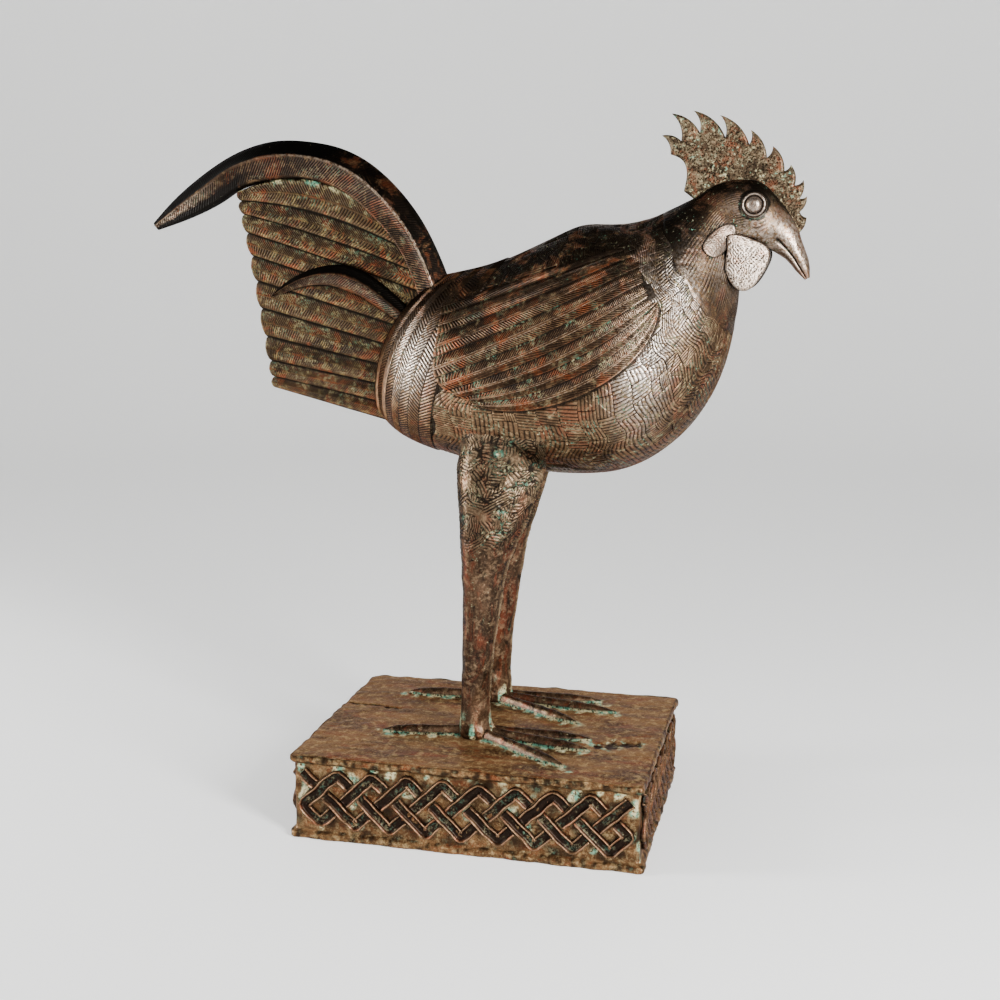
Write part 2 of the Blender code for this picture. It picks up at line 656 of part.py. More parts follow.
def add_material(piece, name, colour, roughness):
    """Give a piece its own cast bronze."""
    bronze = bpy.data.materials.new(name)
    bronze.use_nodes = True
    shader = bronze.node_tree.nodes["Principled BSDF"]
    shader.inputs["Base Color"].default_value = colour
    shader.inputs["Metallic"].default_value = METALLIC
    shader.inputs["Roughness"].default_value = roughness
    piece.data.materials.clear()
    piece.data.materials.append(bronze)


def unite(piece, others):
    """Join the others to a piece with one exact union each."""
    for other in others:
        other.hide_render = True
        other.display_type = "WIRE"
        join = piece.modifiers.new("join " + other.name, "BOOLEAN")
        join.operation = "UNION"
        join.solver = "EXACT"
        join.object = other


clear_scene()
figure = bpy.data.collections.new("bronze_rooster")
blanks = bpy.data.collections.new("joined_blanks")
for collection in (figure, blanks):
    bpy.context.scene.collection.children.link(collection)

rooster = loft("rooster", body_rings(), figure, start_bulge=(-TAIL_END_BULGE, 0.0, 0.0))
trunk_mesh = bmesh.new()
trunk_mesh.from_mesh(rooster.data)
trunk_skin = BVHTree.FromBMesh(trunk_mesh)
trunk_mesh.free()

pieces = [make_tail(blanks), make_sickle(blanks), make_comb(blanks)]
for side, toes in ((-1, NEAR_TOES), (1, FAR_TOES)):
    pieces.append(make_side_sickle(side, blanks))
    pieces.append(make_wing(side, trunk_skin, blanks))
    pieces.append(make_lappet("wattle_blank", WATTLE, WATTLE_SPAN, side, blanks))
    pieces.append(make_lappet("lobe_blank", LOBE, LOBE_SPAN, side, blanks))
    pieces.append(make_eye(side, trunk_skin, blanks))
    pieces.append(make_leg(side, blanks))
    leg_foot = (LEG_FOOT_X + leg_shift(side), side * LEG[-1][4])
    for toe, tip in toes.items():
        pieces.append(make_toe(leg_foot, TOE_SPRING[toe], tip, blanks))
unite(rooster, pieces)
add_material(rooster, "dark cast bronze", ROOSTER_COLOUR, ROOSTER_ROUGHNESS)

plinth = make_plinth_block(figure)
unite(plinth, [make_plait(blanks)])
add_material(plinth, "worn cast bronze", PLINTH_COLOUR, PLINTH_ROUGHNESS)

for piece in (rooster, plinth):
    piece.data.shade_smooth()
    piece.data.set_sharp_from_angle(angle=math.radians(SHARP_EDGE))
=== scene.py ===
"""Finishes the cast bronze rooster on its plaited plinth, piece by piece as it is built up.

Metres, +Z up. The origin is the middle of the plinth's underside, the beak points along +X
and the side that is seen first faces -Y.
"""
import math

import bpy
import numpy as np
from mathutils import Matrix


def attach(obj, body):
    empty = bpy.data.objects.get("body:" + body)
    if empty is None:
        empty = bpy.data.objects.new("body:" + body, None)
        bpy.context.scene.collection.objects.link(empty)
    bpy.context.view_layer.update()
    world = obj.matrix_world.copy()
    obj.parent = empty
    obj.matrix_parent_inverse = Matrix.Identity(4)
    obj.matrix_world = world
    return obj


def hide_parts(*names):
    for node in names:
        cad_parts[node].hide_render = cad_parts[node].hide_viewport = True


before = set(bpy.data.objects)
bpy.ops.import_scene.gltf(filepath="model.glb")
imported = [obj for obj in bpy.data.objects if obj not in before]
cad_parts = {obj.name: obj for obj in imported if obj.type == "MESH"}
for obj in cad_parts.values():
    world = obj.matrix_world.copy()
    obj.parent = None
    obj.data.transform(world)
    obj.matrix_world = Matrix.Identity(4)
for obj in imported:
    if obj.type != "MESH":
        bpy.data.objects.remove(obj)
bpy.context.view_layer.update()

# Studio
# A plain pale floor of matt paper that sweeps up far away on all sides. Two tall soft boxes
# stand to the left and right of the figure at its own height, with weak fill in front.

FLOOR_FLAT = 1.7
FLOOR_SWEEP = 1.3
FLOOR_TOP = 3.0
FLOOR_AROUND = 96
PAPER, PAPER_GLOW = "#EAEAE9", 0.42
ROOM, ROOM_LIGHT = "#B9BCC0", 0.20
LAMPS = (
    # name, bearing from -Y towards +X in degrees, distance, height, width, tall, power
    ("left soft box", -72.0, 1.30, 0.42, 0.26, 0.90, 27.0),
    ("right soft box", 50.0, 1.30, 0.55, 0.26, 0.90, 47.0),
    ("front fill", 8.0, 1.90, 1.60, 1.20, 0.80, 9.0),
)
LAMP_AIM_HEIGHT = 0.27
LENS, SENSOR = 50.0, 36.0
CAMERA_PLACE = (0.23711636, -0.94607862, 0.41743022)
CAMERA_DOWN, CAMERA_TURN = 10.899, 13.819


def linear(code):
    """Turn an sRGB hex colour into linear red, green, blue and a full alpha."""
    srgb = np.array([int(code[i:i + 2], 16) for i in (1, 3, 5)]) / 255.0
    light = np.where(srgb <= 0.04045, srgb / 12.92, ((srgb + 0.055) / 1.055) ** 2.4)
    return (*light.tolist(), 1.0)


def add(tree, kind, inputs, **settings):
    """Add a node with its settings, and give its inputs their values or links."""
    made = tree.nodes.new(kind)
    for key, value in settings.items():
        setattr(made, key, value)
    for key, value in inputs.items():
        if isinstance(value, bpy.types.NodeSocket):
            tree.links.new(value, made.inputs[key])
        else:
            made.inputs[key].default_value = value
    return made


def loft(rings, zip_ends=False):
    """Skin closed rings of points [rings, around, 3] in order.

    Each face joins two neighbours on one ring to the same two on the next. An end is closed
    by a fan to the ring's middle, or zipped: point k is joined to the k-th from the end.
    """
    count, around = rings.shape[:2]
    index = np.arange(count * around).reshape(count, around)
    turned = np.roll(index, -1, axis=1)
    quads = [np.stack([index[:-1], turned[:-1], turned[1:], index[1:]], axis=-1).reshape(-1, 4)]
    vertices = rings.reshape(-1, 3)
    if zip_ends:
        near, far = index[:, :around // 2], index[:, ::-1][:, :around // 2]
        quads.append(np.stack([near[0, 1:], near[0, :-1], far[0, :-1], far[0, 1:]], axis=-1))
        quads.append(np.stack([near[-1, :-1], near[-1, 1:], far[-1, 1:], far[-1, :-1]], axis=-1))
        return vertices, np.concatenate(quads), np.empty((0, 3), dtype=int)
    hubs = np.stack([rings[0].mean(axis=0), rings[-1].mean(axis=0)])
    first = np.full(around, len(vertices))
    triangles = np.concatenate([np.stack([first, turned[0], index[0]], axis=-1),
                                np.stack([first + 1, index[-1], turned[-1]], axis=-1)])
    return np.concatenate([vertices, hubs]), np.concatenate(quads), triangles


def turn_steps(count):
    """Angles of a whole turn in even steps, from 0."""
    return np.arange(count) * 2.0 * math.pi / count


def grid_quads(index):
    """The four corners of each cell of one or more grids of point numbers."""
    return np.stack([index[..., :-1, :-1], index[..., :-1, 1:], index[..., 1:, 1:],
                     index[..., 1:, :-1]], axis=-1).reshape(-1, 4)


def walk_round(index):
    """Point numbers met on a walk round the rim of each grid."""
    return np.concatenate([index[..., 0, :-1], index[..., :-1, -1], index[..., -1, :0:-1],
                           index[..., :0:-1, 0]], axis=-1)


def new_piece(name, vertices, quads, triangles, marks, node, finish):
    """Make one closed smooth piece that stands for a node and rides on the body.

    The volume inside is the sum over its triangles of a . (b x c) / 6; where that comes out
    negative, every face is turned round so that it points out. Each mark is a value a point.
    """
    halves = np.concatenate([quads[:, [0, 1, 2]], quads[:, [0, 2, 3]], triangles])
    a, b, c = (vertices[halves[:, k]] for k in range(3))
    if np.einsum("ij,ij->", a, np.cross(b, c)) < 0.0:
        quads, triangles = quads[:, ::-1], triangles[:, ::-1]
    corners = np.concatenate([quads.ravel(), triangles.ravel()])
    starts = np.concatenate([4 * np.arange(len(quads)),
                             4 * len(quads) + 3 * np.arange(len(triangles))])
    mesh = bpy.data.meshes.new(name)
    mesh.vertices.add(len(vertices))
    mesh.vertices.foreach_set("co", np.ascontiguousarray(vertices, dtype=np.float32).ravel())
    mesh.loops.add(len(corners))
    mesh.loops.foreach_set("vertex_index", corners.astype(np.int32))
    mesh.polygons.add(len(starts))
    mesh.polygons.foreach_set("loop_start", starts.astype(np.int32))
    mesh.update(calc_edges=True)
    mesh.polygons.foreach_set("use_smooth", np.ones(len(starts), dtype=bool))
    for mark, values in marks.items():
        filled = np.zeros(len(vertices), dtype=np.float32)
        filled[:values.size] = values.ravel()
        mesh.attributes.new(mark, "FLOAT", "POINT").data.foreach_set("value", filled)
    piece = bpy.data.objects.new(name, mesh)
    bpy.context.scene.collection.objects.link(piece)
    mesh.materials.append(finish)
    if node:
        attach(piece, "root")
        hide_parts(node)
    return piece


# Matt paper, a little lit through from behind: dead flat and pale
paper = bpy.data.materials.new("matt studio paper")
paper.use_nodes = True
paper_shader = paper.node_tree.nodes["Principled BSDF"]
paper_shader.inputs["Roughness"].default_value = 0.9
paper_shader.inputs["Specular IOR Level"].default_value = 0.1
paper_shader.inputs["Base Color"].default_value = linear(PAPER)
paper_shader.inputs["Emission Color"].default_value = linear(PAPER)
paper_shader.inputs["Emission Strength"].default_value = PAPER_GLOW

# The sweep is a profile turned about the upright axis: flat, a quarter circle, then a wall
sweep = np.linspace(0.0, math.pi / 2.0, 16)
floor_radius = np.concatenate([[0.4, 1.0], FLOOR_FLAT + FLOOR_SWEEP * np.sin(sweep),
                               [FLOOR_FLAT + FLOOR_SWEEP]])
floor_height = np.concatenate([[0.0, 0.0], FLOOR_SWEEP * (1.0 - np.cos(sweep)), [FLOOR_TOP]])
bearing = turn_steps(FLOOR_AROUND)
floor_rings = np.stack([floor_radius[:, None] * np.cos(bearing),
                        floor_radius[:, None] * np.sin(bearing),
                        np.repeat(floor_height[:, None], FLOOR_AROUND, axis=1)], axis=-1)
floor_points, floor_quads, floor_fans = loft(floor_rings)
floor = new_piece("studio_floor", floor_points[:-1], floor_quads[:, ::-1],
                  floor_fans[:FLOOR_AROUND, ::-1], {}, None, paper)

for lamp_name, lamp_bearing, away, lamp_height, lamp_width, lamp_tall, power in LAMPS:
    area = bpy.data.lights.new(lamp_name, "AREA")
    area.shape = "RECTANGLE"
    area.size, area.size_y, area.energy = lamp_width, lamp_tall, power
    lamp = bpy.data.objects.new(lamp_name, area)
    turn = math.radians(lamp_bearing)
    lamp.location = (away * math.sin(turn), -away * math.cos(turn), lamp_height)
    lamp.rotation_euler = (math.atan2(away, lamp_height - LAMP_AIM_HEIGHT), 0.0, turn)
    lamp.visible_camera = False
    bpy.context.scene.collection.objects.link(lamp)

room = bpy.data.worlds.new("dim room")
room.use_nodes = True
room_light = room.node_tree.nodes["Background"].inputs
room_light["Color"].default_value = linear(ROOM)
room_light["Strength"].default_value = ROOM_LIGHT
bpy.context.scene.world = room

lens = bpy.data.cameras.new("camera")
lens.lens, lens.sensor_width = LENS, SENSOR
lens.clip_start, lens.clip_end = 0.01, 20.0
camera = bpy.data.objects.new("camera", lens)
camera.location = CAMERA_PLACE
camera.rotation_euler = (math.radians(90.0 - CAMERA_DOWN), 0.0, math.radians(CAMERA_TURN))
bpy.context.scene.collection.objects.link(camera)
bpy.context.scene.camera = camera


# Plinth block
# A hollow block of bronze, cast from wax slabs smoothed by hand: a top plate, a bottom
# flange and a sunk panel on each side. Its edges wander, and its top is pitted and cracked.

PLINTH_LENGTH = 0.250
PLINTH_DEPTH = 0.188
PLINTH_HEIGHT = 0.061
PLINTH_COLUMNS = 184
PLINTH_ROWS = 138
PLINTH_CORNERS = ((1, 1, 0.003), (-1, 1, 0.011), (-1, -1, 0.004), (1, -1, 0.003))
# Height and inset of each level from the underside up, in millimetres
PLINTH_LEVELS = (
    (0.0, 1.6), (0.4, 0.6), (1.2, 0.1), (2.4, 0.0), (3.6, 0.0), (4.5, 0.3), (5.1, 1.2),
    (5.8, 2.3), (6.8, 2.9), (8.5, 3.0), *((z, 3.0) for z in range(11, 51, 3)), (52.5, 3.0),
    (54.2, 2.9), (55.2, 2.3), (55.9, 1.2), (56.4, 0.4), (57.2, 0.0), (58.2, 0.0), (59.2, 0.1),
    (60.0, 0.3), (60.6, 0.8),
)
TOP_INSET = 1.7
CRACK = ((-121, 21), (-110, 19.5), (-100, 20), (-90, 17.5), (-80, 17))
# Pits of the scar in millimetres: x, y, half length and half width
SCAR = ((82, -25, 5, 6), (91, -21, 7, 10), (101, -17, 7, 7), (109, -15, 4, 6))
# Middle of each leg and its four toe tips on the plinth, in millimetres
NEAR_FOOT = ((-6, -25), (-75, -33), (76, -17), (78, -38), (66, -71))
FAR_FOOT = ((-14, 55), (-82, 53), (69, 66), (84, 44), (59, 15))
# What the eight colours of every bronze are for, in their order
PATINA = ("deep", "shade", "metal", "bright", "rust", "rubbed_and_highlight", "crust", "green")
PLINTH_TONES = "#170E08 #3E2815 #7A5839 #BCA072 #743C22 #A0805E #AAA37E #5A856F"


def ripple(points, size, seed):
    """Smooth unevenness, about -1 to 1: the mean of 14 sine waves of near the given length,
    each along its own seeded direction, times the root of seven."""
    draw = np.random.default_rng(seed)
    ways = draw.normal(size=(14, points.shape[-1]))
    ways *= draw.uniform(0.7, 1.5, (14, 1)) / np.linalg.norm(ways, axis=1)[:, None]
    phase = points @ ways.T * (2.0 * math.pi / size) + draw.uniform(0.0, 2.0 * math.pi, 14)
    return np.sin(phase).mean(axis=-1) * math.sqrt(7.0)


def ease(low, high, value):
    """Smooth step from 0 at low to 1 at high."""
    share = np.clip((value - low) / (high - low), 0.0, 1.0)
    return share * share * (3.0 - 2.0 * share)


def away_from(points, start, end):
    """Distance of points in plan from the straight line between two ends."""
    start, end = np.asarray(start, dtype=float), np.asarray(end, dtype=float)
    length = max((end - start) @ (end - start), 1e-12)
    share = np.clip((points - start) @ (end - start) / length, 0.0, 1.0)
    return np.linalg.norm(points - start - share[..., None] * (end - start), axis=-1)


def nearest(points, line):
    """Distance of points in plan from a line of several straight runs."""
    return np.min([away_from(points, a, b) for a, b in zip(line, line[1:])], axis=0)


def aged_bronze(name, tones, rough=0.40, packed=0.3, speckle=0.5, spread=0.03, grain=0.4,
                streak=(1.0, 1.0, 1.0), bare=0.8):
    """Cast bronze under an old patina, with every tone laid in by its own pattern.

    Shade and plain metal are mixed by a broad mottle, rust comes in as flames, grain of 1 to
    2 mm is lighter and darker, rubbed places and painted highlights are pale and smooth, and
    cuts and painted shade are dark. Crust and verdigris lie as crumbs in some of the cuts and
    as specks, more where crust is marked.
    The mottle and flames are drawn out along an axis where the streak there is below one.
    Bare is how metallic the face is: a dull patina hides the metal, and rubbing and the
    painted highlights bare it.
    """
    colour = dict(zip(PATINA, map(linear, tones.split())))
    bronze = bpy.data.materials.new(name)
    bronze.use_nodes = True
    tree = bronze.node_tree
    shader = tree.nodes["Principled BSDF"]
    place_at = add(tree, "ShaderNodeTexCoord", {}).outputs["Object"]
    carved_and_shade, crust, rubbed_and_highlight, black = (
        add(tree, "ShaderNodeAttribute", {}, attribute_name=mark).outputs["Fac"]
        for mark in ("carved_and_shade", "crust", "rubbed_and_highlight", "black"))

    drawn_out = add(tree, "ShaderNodeMapping", {"Vector": place_at, "Scale": streak})

    def noise(size, detail, rough_share=0.55, stretch=0.0, at=place_at):
        return add(tree, "ShaderNodeTexNoise", {
            "Vector": at, "Scale": 1.0 / size, "Detail": detail,
            "Roughness": rough_share, "Distortion": stretch}).outputs["Fac"]

    def share(value, low, high, most=1.0):
        return add(tree, "ShaderNodeMapRange", {
            "Value": value, "From Min": low, "From Max": high, "To Min": 0.0, "To Max": most},
            interpolation_type="SMOOTHSTEP").outputs["Result"]

    def blend(factor, under, over):
        return add(tree, "ShaderNodeMix", {0: factor, 6: under, 7: over},
                   data_type="RGBA").outputs[2]

    def joined(operation, one, other):
        return add(tree, "ShaderNodeMath", {0: one, 1: other}, operation=operation).outputs[0]

    mottle = noise(spread, 5.0, 0.66, 0.3, drawn_out.outputs[0])
    flame = noise(spread * 0.6, 7.0, 0.7, 0.6, drawn_out.outputs[0])
    patch = noise(0.011, 3.0)
    crumb = noise(0.0019, 3.0, 0.7)
    dust = noise(0.0010, 2.0)
    tone = blend(share(mottle, 0.36, 0.62), colour["shade"], colour["metal"])
    tone = blend(share(flame, 0.50, 0.63, 0.80), tone, colour["rust"])
    tone = blend(share(noise(0.0055, 4.0, 0.65), 0.50, 0.64, 0.45), tone,
                 colour["bright"])
    tone = blend(share(crumb, 0.50, 0.62, 0.8 * grain), tone, colour["bright"])
    tone = blend(share(dust, 0.50, 0.62, 1.2 * grain), tone, colour["deep"])
    # The pale rubbed tone lays in painted highlights as well as rubbed wear
    worn_and_highlit = joined("MULTIPLY", rubbed_and_highlight, share(crumb, 0.62, 0.40, 0.9))
    tone = blend(worn_and_highlit, tone, colour["rubbed_and_highlight"])
    # Where black is marked the tone goes deep: painted shade on faces that look up and on the
    # sickles, and the dark joints of the tail
    patchy = joined("MULTIPLY", share(black, 0.05, 0.75, 0.92), share(flame, 0.60, 0.50))
    covered = joined("MAXIMUM", share(black, 0.88, 0.98), patchy)
    tone = blend(joined("MAXIMUM", share(carved_and_shade, 0.12, 0.75, 0.95), covered), tone,
                 colour["deep"])
    in_cuts = joined("MULTIPLY", share(carved_and_shade, 0.35, 0.95, packed), share(crumb, 0.49, 0.55))
    in_cuts = joined("MULTIPLY", in_cuts, share(patch, 0.46, 0.60))
    in_cuts = joined("MULTIPLY", in_cuts, joined("SUBTRACT", 1.0, black))
    specks = joined("MULTIPLY", share(crumb, 0.74 - 0.16 * speckle, 0.79 - 0.16 * speckle),
                    share(patch, 0.42, 0.60))
    crusted = joined("MULTIPLY", share(crust, 0.15, 0.85), share(crumb, 0.38, 0.54))
    deposit = joined("MAXIMUM", joined("MAXIMUM", in_cuts, specks), crusted)
    green = share(noise(0.007, 4.0, 0.7), 0.48, 0.56)
    tone = blend(deposit, tone, blend(green, colour["crust"], colour["green"]))
    tree.links.new(tone, shader.inputs["Base Color"])
    shown = joined("ADD", bare, joined("MULTIPLY", rubbed_and_highlight, 0.9 - bare))
    tree.links.new(joined("MULTIPLY", shown, joined("SUBTRACT", 1.0, deposit)),
                   shader.inputs["Metallic"])
    dull = joined("ADD", share(mottle, 0.3, 0.7, 0.12), rough - 0.06)
    dull = joined("ADD", dull, joined("MULTIPLY", deposit, 0.35))
    tree.links.new(joined("SUBTRACT", dull, joined("MULTIPLY", rubbed_and_highlight, 0.10)),
                   shader.inputs["Roughness"])
    shader.inputs["Specular IOR Level"].default_value = 0.3
    shader.inputs["Specular Tint"].default_value = colour["bright"]
    shader.inputs["Coat Weight"].default_value = 0.08
    shader.inputs["Coat Roughness"].default_value = 0.22
    pits = add(tree, "ShaderNodeBump", {
        "Height": noise(0.0006, 3.0, 0.6), "Strength": 0.35, "Distance": 0.00025})
    dents = add(tree, "ShaderNodeBump", {
        "Height": noise(0.0035, 4.0, 0.6), "Strength": 0.45, "Distance": 0.0006,
        "Normal": pits.outputs["Normal"]})
    tree.links.new(dents.outputs["Normal"], shader.inputs["Normal"])
    return bronze


def plinth_plan(u, v, inset):
    """Plan of the block for u and v from -1 to 1, pulled in by an inset in metres.

    A rectangle; inside each corner's square of its own radius, the square is mapped to a
    quarter disc: a side times the root of one less half the other side squared.
    """
    x = u * (PLINTH_LENGTH / 2.0 - inset)
    y = v * (PLINTH_DEPTH / 2.0 - inset)
    for sign_x, sign_y, radius in PLINTH_CORNERS:
        edge_x = PLINTH_LENGTH / 2.0 - inset - radius
        edge_y = PLINTH_DEPTH / 2.0 - inset - radius
        far_x, far_y = (sign_x * x - edge_x) / radius, (sign_y * y - edge_y) / radius
        inside = (far_x > 0.0) & (far_y > 0.0)
        round_x = far_x * np.sqrt(np.maximum(1.0 - far_y ** 2 / 2.0, 0.0))
        round_y = far_y * np.sqrt(np.maximum(1.0 - far_x ** 2 / 2.0, 0.0))
        x = np.where(inside, sign_x * (edge_x + radius * round_x), x)
        y = np.where(inside, sign_y * (edge_y + radius * round_y), y)
    return x, y


top_v, top_u = np.meshgrid(np.linspace(-1.0, 1.0, PLINTH_ROWS),
                           np.linspace(-1.0, 1.0, PLINTH_COLUMNS), indexing="ij")
grid = np.arange(top_u.size).reshape(top_u.shape)
edge_walk = walk_round(grid)
level_height, level_inset = np.array(PLINTH_LEVELS).T / 1000.0
side_x, side_y = plinth_plan(top_u.ravel()[edge_walk], top_v.ravel()[edge_walk],
                             level_inset[:, None])
side = np.stack([side_x, side_y, np.repeat(level_height[:, None], len(edge_walk), axis=1)],
                axis=-1)
wander = (0.0006 * ripple(side, 0.030, 1) + 0.00045 * ripple(side, 0.009, 2)
          + 0.00022 * ripple(side, 0.0035, 3))
outward = np.stack([side_x / PLINTH_LENGTH, side_y / PLINTH_DEPTH], axis=-1)
outward = np.where(np.abs(outward) > 0.97 * np.abs(outward).max(axis=-1, keepdims=True),
                   np.sign(outward), 0.0)
outward /= np.linalg.norm(outward, axis=-1, keepdims=True)
on_rim = (level_inset < 0.0025)[:, None]
side[..., :2] += outward * (np.where(on_rim, wander, 0.5 * wander) - 0.0004)[..., None]
side[..., 2] += np.where(level_height[:, None] > 0.03, 1.0, 0.6) * np.where(
    (level_height[:, None] > 0.002) & on_rim, 0.0008 * ripple(side, 0.016, 4), 0.0)
side_carved = np.where(on_rim, 0.30 + 0.4 * ease(-0.5, 0.9, ripple(side, 0.006, 18)),
                       0.46 + 0.25 * ripple(side, 0.012, 19))
side_crust = (ease(0.2, 1.1, ripple(side, 0.013, 5) + 14.0 * (side[..., 2] - 0.035))
              * np.where(on_rim, 0.0, 1.0))

top_x, top_y = plinth_plan(top_u, top_v, TOP_INSET / 1000.0)
plan = np.stack([top_x, top_y], axis=-1)
rim = 1.0 - np.minimum((1.0 - np.abs(top_u)) * 62.0, (1.0 - np.abs(top_v)) * 47.0).clip(0.0, 1.0)
in_mm = plan * 1000.0
flat_crack = nearest(in_mm, CRACK) + 1.2 * ripple(plan, 0.006, 6)
flat_scar = np.min([np.hypot((in_mm[..., 0] - x) / long, (in_mm[..., 1] - y) / wide)
                    for x, y, long, wide in SCAR], axis=0) + 0.22 * ripple(plan, 0.006, 7)
crack_depth = ease(2.2, 0.3, flat_crack)
scar_depth = ease(1.2, 0.2, flat_scar)
pocks = ease(0.9, 1.7, ripple(plan, 0.0065, 9) + 0.35 * ripple(plan, 0.003, 10))
toes = np.min([away_from(in_mm + (0.0, 2.5), foot[0], tip)
               for foot in (NEAR_FOOT, FAR_FOOT) for tip in foot[1:]], axis=0)
toe_crust = (ease(9.5, 3.5, toes + 2.5 * ripple(plan, 0.012, 11))
             * ease(-0.8, 0.9, ripple(plan, 0.014, 17)))
top_height = (PLINTH_HEIGHT - 0.0005 * rim ** 2 + 0.00035 * ripple(plan, 0.045, 12)
              + 0.00016 * ripple(plan, 0.011, 13) - 0.0011 * crack_depth
              - 0.0020 * scar_depth - 0.0006 * pocks + 0.0005 * toe_crust)
top = np.stack([top_x, top_y, top_height], axis=-1)
top[..., :2] *= 1.0 + 0.004 * rim[..., None] * ripple(plan, 0.03, 1)[..., None]
top_carved = np.clip(crack_depth + scar_depth + 0.5 * pocks + 0.5 * ease(0.4, 1.0, rim),
                     0.0, 1.0)
scar_edge = ease(1.6, 1.2, flat_scar) * ease(0.5, 0.9, flat_scar) * ease(
    -0.2, 0.6, ripple(plan, 0.008, 8))
top_crust = np.clip(toe_crust + scar_edge, 0.0, 1.0)

# The sides' last level is joined to the rim of the top, and the underside to one middle point
side_index = top.size // 3 + np.arange(side.size // 3).reshape(side.shape[:2])
levels = np.concatenate([side_index, edge_walk[None, :]])
beside = np.roll(levels, -1, axis=1)
plinth_quads = np.concatenate([
    np.stack([levels[:-1], beside[:-1], beside[1:], levels[1:]], axis=-1).reshape(-1, 4),
    grid_quads(grid)])
plinth_points = np.concatenate([top.reshape(-1, 3), side.reshape(-1, 3), [(0.0, 0.0, 0.0)]])
plinth_fan = np.stack([np.full(len(edge_walk), len(plinth_points) - 1),
                       beside[0], levels[0]], axis=-1)
# Worn cast bronze: streaky warm brown, darker where it is pitted, green and cream at the toes
plinth_finish = aged_bronze("worn cast bronze", PLINTH_TONES, rough=0.46, packed=0.3, speckle=0.0,
                            spread=0.014, grain=0.35, streak=(0.28, 1.0, 1.0), bare=0.65)
new_piece("plinth_block", plinth_points, plinth_quads, plinth_fan,
          {"carved_and_shade": np.concatenate([top_carved.ravel(), side_carved.ravel()]),
           "crust": np.concatenate([top_crust.ravel(), side_crust.ravel()])},
          "plinth", plinth_finish)


# Plait round the plinth
# Bands of wax laid on each panel as a three-strand plait and cast with the block. Each band
# has two rounded edges with a groove between them, and dips where it goes under another.

BAND_WIDTH = 0.0084
BAND_RISE = 0.0029
BAND_CLEARANCE = 0.0008
PANEL_LOW, PANEL_HIGH, PANEL_RECESS = 0.0065, 0.0550, 0.0030
PLAIT_END_MARGIN = 0.0030
PLAIT_PITCH_SHARE = 0.75
BAND_STEPS = 34
# Across a band from edge to edge: share of its half width, and share of its rise
BAND_PROFILE = ((-1.06, -0.5), (-1.04, 0.2), (-0.98, 0.75), (-0.88, 1.0), (-0.76, 0.95),
                (-0.64, 0.35), (-0.50, 0.05), (0.0, -0.05), (0.50, 0.05), (0.64, 0.35),
                (0.76, 0.95), (0.88, 1.0), (0.98, 0.75), (1.04, 0.2), (1.06, -0.5))
BAND_TONES = "#130B07 #281912 #4C3425 #82664A #6E3B27 #9A7A5A #A29C78 #55836F"


def plait_paths(length, reach):
    """Centre lines of the parts of a three-strand plait that lie on top, as lists of corners.

    The strands are zigzags between -reach and +reach, a third of a wave apart. Falling
    strands lie on top in the lower row of crossings and rising ones in the upper row.
    """
    count = max(3, round(PLAIT_PITCH_SHARE * length / reach))
    pitch = length / count
    slope = 2.0 * reach / (1.5 * pitch)
    stop = (BAND_WIDTH / 2.0 + BAND_CLEARANCE) / math.hypot(1.0, slope)
    hook, arm = 0.5 * pitch - stop, pitch - stop
    paths = [[(k * pitch - arm, sign * (reach - slope * arm)), (k * pitch, sign * reach),
              (k * pitch + hook, sign * (reach - slope * hook))]
             for sign, turns in ((-1, np.arange(1.5, count - 1)), (1, np.arange(2, count)))
             for k in turns]
    middle = -reach + slope * 0.5 * pitch
    end = length - 0.5 * pitch
    return paths + [
        [(0.5 * pitch + hook, -reach + slope * hook), (0.5 * pitch, -reach), (0.0, middle),
         (pitch, reach), (pitch + hook, reach - slope * hook)],
        [(end - arm, -reach + slope * arm), (end, -reach), (length, middle),
         (length - hook, middle + slope * hook)],
        [(0.0, reach), (hook, reach - slope * hook)],
        [(length - arm, reach - slope * arm), (length, reach)]]


def even_steps(path, steps):
    """Read a line of corners at even steps of its length, its corners softened by averaging
    each point with its neighbours."""
    path = np.asarray(path, dtype=float)
    run = np.concatenate([[0.0], np.cumsum(np.linalg.norm(np.diff(path, axis=0), axis=1))])
    at = np.linspace(0.0, run[-1], steps)
    line = np.stack([np.interp(at, run, path[:, k]) for k in range(path.shape[1])], axis=-1)
    line[1:-1] = (line[:-2] + 2.0 * line[1:-1] + line[2:]) / 4.0
    return line


def gathered(parts):
    """Points and faces of several lofts of one size, as one mesh."""
    points, quads, fans = zip(*parts)
    shift = (np.arange(len(parts)) * len(points[0]))[:, None, None]
    return (np.concatenate(points), (np.stack(quads) + shift).reshape(-1, 4),
            (np.stack(fans) + shift).reshape(-1, 3))


